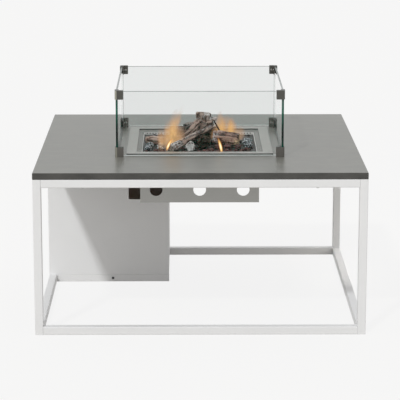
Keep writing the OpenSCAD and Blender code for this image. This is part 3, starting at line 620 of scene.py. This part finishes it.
# The dome and the socket of a head, as shares of its radius and its height
DOME = ((1, 0), (1, 0.35), (0.93, 0.7), (0.75, 0.93))
SOCKET = ((0.55, 1), (0.5, 0.97), (0.5, 0.4))


def tube_faces(rings, sides):
    """Faces of a closed tube whose points lie ring after ring."""
    faces = []
    for i in range(rings - 1):
        for k in range(sides):
            a, b = i * sides + k, i * sides + (k + 1) % sides
            faces.append((a, b, b + sides, a + sides))
    faces.append(tuple(range(sides))[::-1])
    faces.append(tuple(range((rings - 1) * sides, rings * sides)))
    return faces


def join(points, faces, more_points, more_faces):
    """Adds one more shape to a growing mesh."""
    start = len(points)
    points.extend(more_points)
    faces.extend(tuple(i + start for i in face) for face in more_faces)


def screw_head(radius, height):
    """A domed head on z = 0 with a six-sided socket, pointing along +Z."""
    points, per_flat = [], SCREW_SIDES // 6
    for ring, (wide, tall) in enumerate(DOME + SOCKET):
        for k in range(SCREW_SIDES):
            turn = 2 * math.pi * k / SCREW_SIDES
            x, y, stretch = wide * radius * math.cos(turn), wide * radius * math.sin(turn), 1.0
            if ring > len(DOME):
                corner = (k % per_flat) / per_flat * math.pi / 3 - math.pi / 6
                stretch = math.cos(math.pi / 6) / math.cos(corner)
            points.append(Vector((x * stretch, y * stretch, tall * height)))
    return points, tube_faces(len(DOME + SOCKET), SCREW_SIDES)


def build_screws():
    points, faces = [], []
    for low, high in islands("clip_screws"):
        middle, size = (low + high) / 2, high - low
        thin = 0 if size.x < size.y else 1
        inward = Vector((0, 0, 0))
        inward[thin] = -math.copysign(1, middle[thin])
        head = size[thin] - SCREW_SHAFT
        root = middle.copy()
        root[thin] = (high[thin] if inward[thin] > 0 else low[thin]) - inward[thin] * head
        turn = Vector((0, 0, 1)).rotation_difference(inward)
        head_points, head_faces = screw_head(size.z / 2, head)
        join(points, faces, [root + turn @ point for point in head_points], head_faces)
    steel = brushed_steel("clip_screw_steel", (0.30, 0.295, 0.28), roughness=0.3)
    screws = new_piece("clip_screw_heads", points, faces, steel)
    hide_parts("clip_screws")
    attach(screws, "glass_guard")
    return len(points)


print("screw points:", build_screws())

# %% [markdown]
# ## Logs
# The logs are moulded ceramic with a coarse bark, and they lean on each other over the gas ports. They could be
# sculpted by hand, but a script is easier to change. So each log is a tube of points on the axis of its solid,
# and a thick piece of wood is made of several tubes that grow into each other.

# %% Place the logs
deck_low, deck_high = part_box("ember_deck")
DECK_SIDE = deck_high.x - deck_low.x
DECK_Z = deck_high.z
UNIT = DECK_SIDE / 100
# Both ends, the radius at each and the twist, in hundredths of the deck's side from the middle of its top. They
# follow the solid logs, but the main log is slimmer at its foot, the crown and the fork are a little stouter, and
# the shoulder, the collar and the burl are branches that only this lesson has.
LOGS = {
    "log_main": ((-23, -22.5, 3.4), (-8, -3.4, 11.2), 3.3, 4, 1),
    "log_shoulder": ((-9.5, -5.4, 10.4), (3.4, 11.8, 19.2), 3.9, 6.0, 12),
    "log_crown": ((3.6, 12.6, 17), (4.6, 13, 26.6), 6.9, 7.5, 10),
    "log_knot": ((7.5, 10, 21.5), (15.9, 10.5, 21.8), 2, 1.8, 9),
    "log_collar": ((6.5, 9, 16.5), (12.2, 8, 18.6), 3.4, 2.8, 13),
    "log_fork": ((-24.5, -37, 3.9), (11.2, -5, 17.2), 4.2, 2.5, 2),
    "log_rear": ((-25.9, 23.2, 7.1), (17.7, 19.6, 7.1), 7.1, 6.8, 3),
    "log_burl": ((-13.4, 20.5, 9.8), (0, 20, 12.2), 6.2, 6.8, 11),
    "log_right": ((12.2, -6.8, 7.2), (34.9, -10.4, 6.5), 7.2, 6.5, 4),
    "log_left": ((-46.5, 5, 4), (-31, -4, 4), 4.1, 4.3, 5),
    "log_front": ((-8.2, -34, 4.5), (-7.8, -26, 4.5), 4.6, 4.6, 6),
    "log_char": ((3.6, -24, 6), (3.4, -9, 6), 6.2, 6.2, 7),
    "log_twig": ((13, 8.2, 20.6), (24, 10, 0.8), 0.7, 0.7, 8),
}
print("deck", round(DECK_SIDE, 3), "m wide - logs and branches:", len(LOGS))

# %% [markdown]
# ## Bark
# Bark is long plates with deep cracks between them. A bump in the finish could draw them, but the outline would
# stay smooth. So the points themselves are pushed in and out, by ridged noise that is drawn out along the log,
# and their ends are broken by a coarser noise. Charred wood has shorter plates and rougher ends.

# %% Shape a log's skin
LOG_BULGE = 0.13
# Grain around and along, depth of the cracks and depth of the end's breaks
BARK_GRAIN = (58, 16, 0.13, 0.0016)
CHAR_GRAIN = (46, 44, 0.2, 0.009)
OCTAVES, CRACK_WIDTH = 4, 2.4
# Points around a log, length of a ring, fewest rings, and rings in each end
AROUND, RING_STEP, FEWEST_RINGS, END_RINGS = 84, 0.0022, 16, 7
# How far from its end a log is rounded and broken, how far the end is domed, and the room above the deck
ROUNDED, BROKEN, END_DOME, CLEARANCE = 0.006, 0.012, 0.0022, 0.0002
# How wide the end is, where the skin lies and how much it swells, as shares of the radius
END_WIDTH, SKIN_LEVEL, SWELL = 0.86, 0.93, 0.05
# The relief that lies level with the skin, and the steps of noise from one log to the next
PLATE_LEVEL, LOG_SHIFT = 0.75, 13


def ridged(spot):
    """Ridged noise from about 0, in the cracks, to 1, on the plates."""
    total, size, weight = 0.0, 1.0, 0.0
    for _ in range(OCTAVES):
        total += size * min(1.0, CRACK_WIDTH * abs(noise.noise(spot)))
        weight += size
        spot, size = spot * 2.1, size * 0.5
    return total / weight


def smooth_radius(log, t, turn):
    """A log's radius without its bark: three broad bulges, and five small ones that wind along it."""
    _, _, r_start, r_stop, twist = LOGS[log]
    broad = 0.55 * math.sin(3 * turn + math.radians(140 * twist))
    small = 0.45 * math.sin(5 * turn + math.radians(300 * t + 60 * twist))
    return UNIT * (r_start + t * (r_stop - r_start)) * (1 + LOG_BULGE * (broad + small))


def log_skin(log, ash_at, chip_at):
    """Points of a log, each with its relief, its share of cut end and its share of ash, and its faces."""
    start, stop, r_start, r_stop, twist = LOGS[log]
    grain_around, grain_along, cracks, breaks = CHAR_GRAIN if log == "log_char" else BARK_GRAIN
    origin = Vector((0, 0, DECK_Z))
    start, stop = origin + UNIT * Vector(start), origin + UNIT * Vector(stop)
    ahead = (stop - start).normalized()
    side = Vector((0, 0, 1)).cross(ahead).normalized()
    rise = ahead.cross(side)
    length = (stop - start).length
    rings = max(FEWEST_RINGS, int(length / RING_STEP))
    rows = [(0.0, c / END_RINGS) for c in range(1, END_RINGS)] + [(i / rings, 1.0) for i in range(rings + 1)]
    rows += [(1.0, 1 - c / END_RINGS) for c in range(1, END_RINGS)]
    points = []
    for t, inset in rows:
        from_end = min(t, 1 - t) * length
        broken = max(0.0, 1 - from_end / BROKEN)
        width = END_WIDTH + (1 - END_WIDTH) * min(1.0, from_end / ROUNDED) ** 0.5
        for k in range(AROUND):
            turn = 2 * math.pi * k / AROUND
            radius = smooth_radius(log, t, turn) * width
            across = radius * grain_around
            along = length * t * grain_along + LOG_SHIFT * twist
            spot = Vector((across * math.cos(turn), across * math.sin(turn), along))
            height = ridged(spot)
            swell = noise.noise(Vector((spot.x * 0.3, spot.y * 0.3, spot.z * 0.6)))
            skin = radius * (SKIN_LEVEL + SWELL * swell)
            reach = (skin + (height - PLATE_LEVEL) * cracks * UNIT * (r_start + r_stop)) * inset
            outward = math.cos(turn) * side + math.sin(turn) * rise
            coarse = reach * 1.1 / breaks
            lump = noise.noise(Vector((coarse * math.cos(turn), coarse * math.sin(turn), twist)))
            depth = (breaks * broken * lump - END_DOME * (1 - inset)) * (1 if t < 0.5 else -1)
            point = start + ahead * (length * t - depth) + reach * outward
            point.z = max(point.z, DECK_Z + CLEARANCE)
            cut = 1.0 if inset < 1 else chip_at(t, outward)
            points.append((point, height if inset == 1 else 0.5, cut, ash_at(t, outward)))
    return points, tube_faces(len(rows), AROUND)


print("points in a ring of bark:", AROUND)

# %% [markdown]
# ## Bark colours
# The cracks hold soot and are also painted darker as shade, the plates are brown, and their crests are painted
# pale as a highlight. Some logs carry white ash or a cut end. The colours could be painted on by hand, but then
# they would miss the cracks as soon as a log changes. So each point carries its relief, cut and ash as numbers,
# and the finish mixes its colours by them.

# %% Make the barks
ASH = (0.60, 0.61, 0.60)
# Colours of the cracks, with soot and painted shade, the plates, the crests, with a painted highlight, and the cut
# ends
BARKS = {
    "brown": ((0.010, 0.007, 0.006), (0.120, 0.080, 0.064), (0.32, 0.245, 0.205), (0.30, 0.235, 0.19)),
    "rust": ((0.013, 0.007, 0.006), (0.140, 0.073, 0.055), (0.33, 0.22, 0.17), (0.58, 0.42, 0.27)),
    "pale": ((0.016, 0.009, 0.008), (0.200, 0.135, 0.108), (0.42, 0.33, 0.28), (0.46, 0.34, 0.24)),
    "soot": ((0.003, 0.002, 0.002), (0.024, 0.013, 0.008), (0.100, 0.068, 0.048), (0.040, 0.026, 0.018)),
    "dusky": ((0.006, 0.005, 0.004), (0.075, 0.056, 0.046), (0.20, 0.157, 0.128), (0.08, 0.07, 0.06)),
    "ashen": ((0.012, 0.010, 0.009), (0.13, 0.10, 0.085), (0.40, 0.36, 0.33), (0.74, 0.74, 0.70)),
}


def bark_finish(name, crack, plate, crest, cut):
    f = new_finish(name)
    relief, end, dust = f.given("relief"), f.given("cut_end"), f.given("ash")
    fine = f.cloud(scale=230, detail=5, rough=0.65)
    slow = f.cloud(scale=34)
    streak = f.cloud(rough=0.6, vector=f.stretched((420, 260, 90), turn=(0, -0.7, 0)))
    patch = f.cloud(scale=120, rough=0.6)
    height = 0.92 * relief + 1.15 * fine + 0.5 * slow - 0.735
    # The relief darkens the cracks as painted shade and lightens the crests as a painted highlight.
    bark = f.ramp(height, (0.22, crack), (0.46, plate), (0.74, crest))
    sawn = f.ramp(0.8 * streak + 0.2 * fine, (0.38, shaded(cut, 0.15)), (0.54, cut))
    flecks = dust * f.ramp(0.45 * patch + 0.25 * fine + 0.3 * streak, (0.46, grey(0)), (0.54, grey(1)))
    return f.skin(
        Base_Color=f.blend(flecks, f.blend(end, bark, sawn), ASH),
        Roughness=0.92 - 0.15 * fine,
        Specular_IOR_Level=0.25,
        Normal=f.bump(fine, strength=0.8, distance=0.002),
    )


barks = {name: bark_finish("bark_" + name, *colours) for name, colours in BARKS.items()}
print("barks:", ", ".join(barks))


# %% Lay out the ash and the chips
def smooth_step(x, low, high):
    share = max(0.0, min(1.0, (x - low) / (high - low)))
    return share * share * (3 - 2 * share)


def all_over(share):
    return lambda t, outward: share


def ash_on_top(share):
    return lambda t, outward: share * smooth_step(outward.z, 0.4, 1.0)


def ash_at_end(share):
    return lambda t, outward: share * smooth_step(t, 0.7, 1.0)


def ash_at_foot(share, top_share):
    return lambda t, outward: share * smooth_step(-t, -0.3, -0.1) + top_share * smooth_step(outward.z, 0.4, 1.0)


def ash_on_crown(t, outward):
    return 0.8 * smooth_step(t, 0.35, 0.85) * smooth_step(outward.x, -0.6, 0.3)


def chipped_end(t, outward):
    return smooth_step(t, 0.82, 0.88) * smooth_step(-outward.z, -0.5, 0.0)


NOWHERE = all_over(0.0)
print("ash and chips are laid out")


# %% Bark the logs
def store(piece, name, values):
    """Puts one number on every point of a piece."""
    layer = piece.data.attributes.new(name, "FLOAT", "POINT")
    layer.data.foreach_set("value", values)


def build_log(node, bark, ash_at=NOWHERE, chip_at=NOWHERE, branches=()):
    """A log with its bark. Ash and chips depend on the place along it and the way its skin faces."""
    points, faces = log_skin(node, ash_at, chip_at)
    for branch, branch_ash in branches:
        join(points, faces, *log_skin(branch, branch_ash, NOWHERE))
    places, relief, cut, ash = zip(*points)
    piece = new_piece("bark_" + node, places, faces, barks[bark], smooth=True)
    store(piece, "relief", relief)
    store(piece, "cut_end", cut)
    store(piece, "ash", ash)
    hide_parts(node)
    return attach(piece, "table")


STUMP = (
    ("log_shoulder", ash_at_end(0.35)), ("log_crown", ash_on_crown), ("log_collar", NOWHERE),
    ("log_knot", all_over(0.5)),
)
BURL = (("log_burl", ash_on_top(0.3)),)
logs = (
    build_log("log_main", "brown", branches=STUMP),
    build_log("log_fork", "brown", ash_at_foot(0.5, 0.3)),
    build_log("log_rear", "dusky", branches=BURL),
    build_log("log_right", "rust", ash_at_foot(0.45, 0.12), chipped_end),
    build_log("log_left", "pale"),
    build_log("log_front", "ashen", all_over(0.65)),
    build_log("log_char", "soot"),
    build_log("log_twig", "soot"),
)
print("logs barked:", len(logs))

# %% [markdown]
# ## Stones and char
# Between the logs lie dark red lava stones and black lumps with pale flecks, and the lumps before the right log
# are red too. Each could be a scan of a real stone, but many small scans are heavy. So each one starts as a ball
# in the place of its solid, is pushed about by noise, and is cut flat where it stands on the deck. The stones at
# the back are duller and darker, so each point carries a number that says how near the front it is.


# %% Make the stone finishes
def stone_finish(name, low, high, fleck, share, dull):
    """Porous stone with a share of pale flecks, dull where it isn't at the front."""
    f = new_finish(name)
    pores = f.cloud(scale=330, detail=5, rough=0.7)
    slow = f.cloud(scale=45)
    bright = f.ramp(0.5 * pores + 0.5 * slow, (0.36, low), (0.64, high))
    dull_at_back = f.ramp(pores, (0.36, shaded(dull, 0.2)), (0.64, dull))
    base = f.blend(f.given("front"), dull_at_back, bright)
    spots = f.cloud(scale=260, detail=2)
    flecked = f.ramp(spots, (1 - share - 0.05, grey(0)), (1 - share + 0.07, grey(1)))
    return f.skin(
        Base_Color=f.blend(flecked, base, fleck),
        Roughness=0.92 - 0.2 * pores,
        Normal=f.bump(pores, strength=0.9, distance=0.002),
    )


lava = stone_finish(
    "lava_red", low=(0.022, 0.009, 0.008), high=(0.14, 0.055, 0.050), fleck=(0.26, 0.18, 0.16), share=0.36,
    dull=(0.05, 0.045, 0.042),
)
char = stone_finish(
    "char_flecked", low=(0.004, 0.005, 0.008), high=(0.06, 0.066, 0.082), fleck=(0.66, 0.72, 0.74), share=0.46,
    dull=(0.06, 0.066, 0.075),
)
print("stones:", lava.name, char.name)

# %% Scatter the stones
# Across the deck, the red lumps lie between these two places
RED_LEFT, RED_RIGHT = 0.03, 0.135
# Stones get flatter by this share between two places behind the logs
FLAT_SHARE, FLAT_FROM, FLAT_TO = 0.45, 0.08, 0.12
# Stones turn from dull to bright between two places before the middle
BRIGHT_FROM, BRIGHT_TO = 0.02, 0.09
# Grain and depth of a stone's lumps, facets and pits
LUMP_GRAIN, FACET_GRAIN, PIT_GRAIN = 1.3, 2.7, 9
LUMP_DEPTH, FACET_DEPTH, PIT_DEPTH = 0.9, 0.6, 0.22
MEAN_REACH, STONE_SHIFT = 0.86, 3.1


def ball(subdivisions):
    """Directions and faces of a ball of triangles."""
    cage = bmesh.new()
    bmesh.ops.create_icosphere(cage, subdivisions=subdivisions, radius=1.0)
    ways = [vert.co.normalized() for vert in cage.verts]
    faces = [tuple(vert.index for vert in side.verts) for side in cage.faces]
    cage.free()
    return ways, faces


def frontness(y):
    """0 from the middle of the deck backwards, and 1 near its front."""
    return smooth_step(-y, BRIGHT_FROM, BRIGHT_TO)


def rough_reach(way, shift, rough):
    """How far a stone reaches in a direction, as a share of its solid's half size."""
    lump = noise.noise(way * LUMP_GRAIN + shift) * LUMP_DEPTH * rough
    facet = abs(noise.noise(way * FACET_GRAIN + shift)) * rough
    pits = noise.noise(way * PIT_GRAIN + shift) * PIT_DEPTH * rough
    return min(1.0, MEAN_REACH + lump - facet * FACET_DEPTH + pits)


def build_stones(node, finishes, rough, sizes, stray, seed):
    """Rough stones in the places of a node's solids, each a little off in size and place."""
    points, faces, front, finish_of = [], [], [], []
    ways, ball_faces = ball(subdivisions=4)
    dice = random.Random(seed)
    for number, (low, high) in enumerate(islands(node)):
        middle, half = (low + high) / 2, (high - low) / 2 * dice.uniform(*sizes)
        middle += Vector((dice.uniform(-stray, stray) * half.x, dice.uniform(-stray, stray) * half.y, 0))
        half.z *= 1 - FLAT_SHARE * smooth_step(middle.y, FLAT_FROM, FLAT_TO)
        middle.z = low.z + half.z
        shift = Vector((number * STONE_SHIFT + seed, seed, number))
        stone = []
        for way in ways:
            corner = Vector((way.x * half.x, way.y * half.y, way.z * half.z))
            point = middle + corner * rough_reach(way, shift, rough)
            point.z = max(point.z, low.z + CLEARANCE)
            stone.append(point)
        join(points, faces, stone, ball_faces)
        front.extend([frontness(middle.y)] * len(ways))
        red = len(finishes) > 1 and RED_LEFT < middle.x < RED_RIGHT
        finish_of.extend([int(red)] * len(ball_faces))
    stones = new_piece("loose_" + node, points, faces, *finishes, smooth=True)
    stones.data.polygons.foreach_set("material_index", finish_of)
    store(stones, "front", front)
    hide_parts(node)
    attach(stones, "table")
    return len(faces)


lava_faces = build_stones("lava_stones", [lava], rough=0.36, sizes=(0.74, 1.12), stray=0.55, seed=17)
char_faces = build_stones("char_lumps", [char, lava], rough=0.42, sizes=(0.97, 1.03), stray=0.1, seed=83)
print("stone faces:", lava_faces, char_faces)

# %% [markdown]
# ## Crumbs
# Broken lava leaves crumbs all over the deck. They are far too small for solids, and a speckled finish would look
# flat. So they are one mesh of small rough grains, thrown by a seeded dice, which leaves the rear right corner
# bare as in the photo.

# %% Throw the crumbs
CRUMBS = 260
CRUMB_SEED = 29
CRUMB_SIZE, CRUMB_SIZES = 0.0022, (1.0, 1.2, 1.5, 2.2)
CRUMB_GRAIN, CRUMB_DEPTH = 1.6, 0.55
FLATTEST, TALLEST = 0.5, 0.9
THROW_SHARE = 0.47
BARE_PLACE = Vector((0.115, 0.085))
BARE_REACH = 0.085


def build_crumbs():
    dice = random.Random(CRUMB_SEED)
    points, faces, front = [], [], []
    ways, ball_faces = ball(subdivisions=2)
    reach = THROW_SHARE * DECK_SIDE
    while len(points) < CRUMBS * len(ways):
        spot = Vector((dice.uniform(-reach, reach), dice.uniform(-reach, reach)))
        size = dice.choice(CRUMB_SIZES) * CRUMB_SIZE
        tall, seed = dice.uniform(FLATTEST, TALLEST), dice.uniform(0, 50)
        if (spot - BARE_PLACE).length < BARE_REACH:
            continue
        crumb = []
        for way in ways:
            bulge = size * (1 + CRUMB_DEPTH * noise.noise(way * CRUMB_GRAIN + Vector((seed, 0, 0))))
            z = max(DECK_Z + CLEARANCE, DECK_Z + (0.5 * size + bulge * way.z) * tall)
            crumb.append(Vector((spot.x + bulge * way.x, spot.y + bulge * way.y, z)))
        join(points, faces, crumb, ball_faces)
        front.extend([frontness(spot.y)] * len(ways))
    crumbs = new_piece("lava_crumbs", points, faces, lava)
    store(crumbs, "front", front)
    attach(crumbs, "table")
    return len(faces)


print("crumb faces:", build_crumbs())

# %% [markdown]
# ## Flames
# A gas flame has no surface. It could be a volume, but a volume is slow to render and has no mesh to export, so
# each flame is drawn on two thin sheets that cross like a flat X. A flame is a handful of tongues, each with a
# foot, a tip, a width and a strength. Where tongues lie over each other the flame is thicker. The thickness feeds
# the transparency and the heat of the colour, and the sheets are cut away where there is no flame, because a ray
# of light only passes a few sheets before Blender gives it up. The right flame is more amber than the left.


# %% Make the flame finishes
def flame_finish(name, rim, middle, core, glow, cover):
    f = new_finish(name)
    heat = f.given("flame_heat")
    wisps = f.cloud(detail=4, rough=0.6, vector=f.stretched((60, 60, 24)))
    alpha = heat * (2.2 * wisps - 0.1) * cover
    return f.skin(
        Base_Color=grey(0),
        Roughness=1.0,
        Specular_IOR_Level=0.0,
        Emission_Color=f.ramp(heat, (0.0, rim), (0.5, middle), (1.0, core)),
        Emission_Strength=glow,
        Alpha=alpha.maths("MINIMUM", alpha, 1.0),
    )


soft_flame = flame_finish(
    "soft_flame", rim=(0.64, 0.40, 0.27), middle=(0.72, 0.43, 0.22), core=(0.84, 0.50, 0.19),
    glow=1.0, cover=0.78,
)
amber_flame = flame_finish(
    "amber_flame", rim=(0.62, 0.35, 0.20), middle=(0.70, 0.39, 0.17), core=(0.82, 0.47, 0.15),
    glow=1.0, cover=0.76,
)
bright_flame = flame_finish(
    "bright_flame", rim=(0.70, 0.20, 0.04), middle=(1.0, 0.60, 0.20), core=(1.0, 0.92, 0.66),
    glow=1.25, cover=1.1,
)
print("flames:", soft_flame.name, amber_flame.name, bright_flame.name)

# %% Shape the flames
SHEET_TURN = math.radians(25)
LEAN = 1.4
SWAY_GRAIN, CURL_GRAIN, CURL = 0.045, 0.03, 1.6
# Steps of noise from one flame and one sheet to the next
FLAME_SHIFT, SHEET_SHIFT = 30, 50
THINNEST = 0.01
MILLIMETRES = 1000


def thickness(x, z, tongues, form):
    """How much flame there is at a place across and up, from 0 to 1."""
    clear = 1.0
    belly, foot_fade, tip_fade = form
    full = 2 * belly ** belly * (1 - belly) ** (1 - belly)
    for foot, tip, width, strength in tongues:
        v = (z - foot[1]) / (tip[1] - foot[1])
        if 0 < v < 1:
            middle = foot[0] + (tip[0] - foot[0]) * v ** LEAN
            off = (x - middle) / (width / full * v ** belly * (1 - v) ** (1 - belly))
            ends = min(1, v / foot_fade, (1 - v) / tip_fade)
            clear *= 1 - strength * ends * max(0, 1 - off * off) ** 2
    return 1 - clear


def flame_grid(tongues, turn, depth, step, sway, form, seed):
    """A sheet of points over the tongues' reach, in millimetres, each with the flame's thickness there."""
    left = min(min(foot[0], tip[0]) - width for foot, tip, width, _ in tongues)
    right = max(max(foot[0], tip[0]) + width for foot, tip, width, _ in tongues)
    low, high = min(t[0][1] for t in tongues), max(t[1][1] for t in tongues)
    middle = (left + right) / 2
    along = Vector((1, math.tan(turn), 0))
    grid = {}
    for i in range(int((right - left) / step) + 1):
        for j in range(int((high - low) / step) + 1):
            x, z = left + i * step, low + j * step
            spot = Vector((x, z, FLAME_SHIFT * seed + SHEET_SHIFT * turn))
            drift = sway * (z - low) / (high - low)
            sideways, upward = (drift * noise.noise(spot * SWAY_GRAIN + Vector((0, 0, k))) for k in (0, 9))
            curl = CURL * sway * noise.noise(spot * CURL_GRAIN)
            place = Vector((middle, depth + curl, z)) + (x - middle) * along
            grid[i, j] = place, thickness(x + sideways, z + upward, tongues, form)
    return grid


def build_flame(name, tongues, finish, **values):
    """Two sheets of a flame. Tongues are in millimetres from the middle of the deck and above it."""
    points, faces, heat = [], [], []
    for turn in (SHEET_TURN, -SHEET_TURN):
        grid, used = flame_grid(tongues, turn, **values), {}
        for i, j in grid:
            ring = [(i, j), (i + 1, j), (i + 1, j + 1), (i, j + 1)]
            if all(c in grid for c in ring) and max(grid[c][1] for c in ring) > THINNEST:
                for c in ring:
                    if c not in used:
                        used[c] = len(points)
                        points.append(grid[c][0] / MILLIMETRES + Vector((0, 0, DECK_Z)))
                        heat.append(grid[c][1])
                faces.append([used[c] for c in ring])
    flame = new_piece(name, points, faces, finish, smooth=True)
    flame.visible_shadow = False
    store(flame, "flame_heat", heat)
    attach(flame, "table")
    return len(faces)


print("sheets cross at", round(2 * math.degrees(SHEET_TURN)), "degrees")

# %% Light the flames
# Height of the widest part, fade at the foot and fade at the tip, as shares of a tongue
SOFT_FORM = (0.4, 0.2, 0.45)
BRIGHT_FORM = (0.5, 0.4, 0.5)
# Foot and tip of each tongue, across and up, its width and its strength
LEFT_FLAME = (
    ((-92, 0), (-86, 116), 74, 0.55), ((-120, 0), (-125, 76), 34, 0.5), ((-88, 30), (-70, 138), 42, 0.45),
    ((-74, 60), (-52, 146), 26, 0.28), ((-70, 4), (-57, 82), 50, 0.5), ((-88, 6), (-82, 90), 46, 0.35),
    ((-106, 2), (-104, 88), 30, 0.3),
)
RIGHT_FLAME = (
    ((66, 2), (69, 104), 38, 0.58), ((110, 2), (106, 86), 40, 0.56), ((88, 0), (90, 88), 84, 0.56),
    ((50, 4), (52, 60), 34, 0.65), ((124, 0), (138, 52), 50, 0.42), ((72, 8), (76, 84), 30, 0.40),
    ((106, 6), (103, 74), 30, 0.35),
)
LEFT_TONGUE = (((-104, 8), (-86, 51), 11, 1.0),)
RIGHT_TONGUE = (((70.5, -1), (57.5, 56), 12, 1.0),)
SOFT = {"step": 2.0, "form": SOFT_FORM}
BRIGHT = {"step": 0.8, "sway": 1.5, "form": BRIGHT_FORM}
print(
    "flame faces:",
    build_flame("flame_left", LEFT_FLAME, soft_flame, depth=-95, sway=9.0, seed=3, **SOFT),
    build_flame("flame_right", RIGHT_FLAME, amber_flame, depth=58, sway=7.0, seed=7, **SOFT),
    build_flame("tongue_left", LEFT_TONGUE, bright_flame, depth=-150, seed=13, **BRIGHT),
    build_flame("tongue_right", RIGHT_TONGUE, bright_flame, depth=-158, seed=17, **BRIGHT),
)
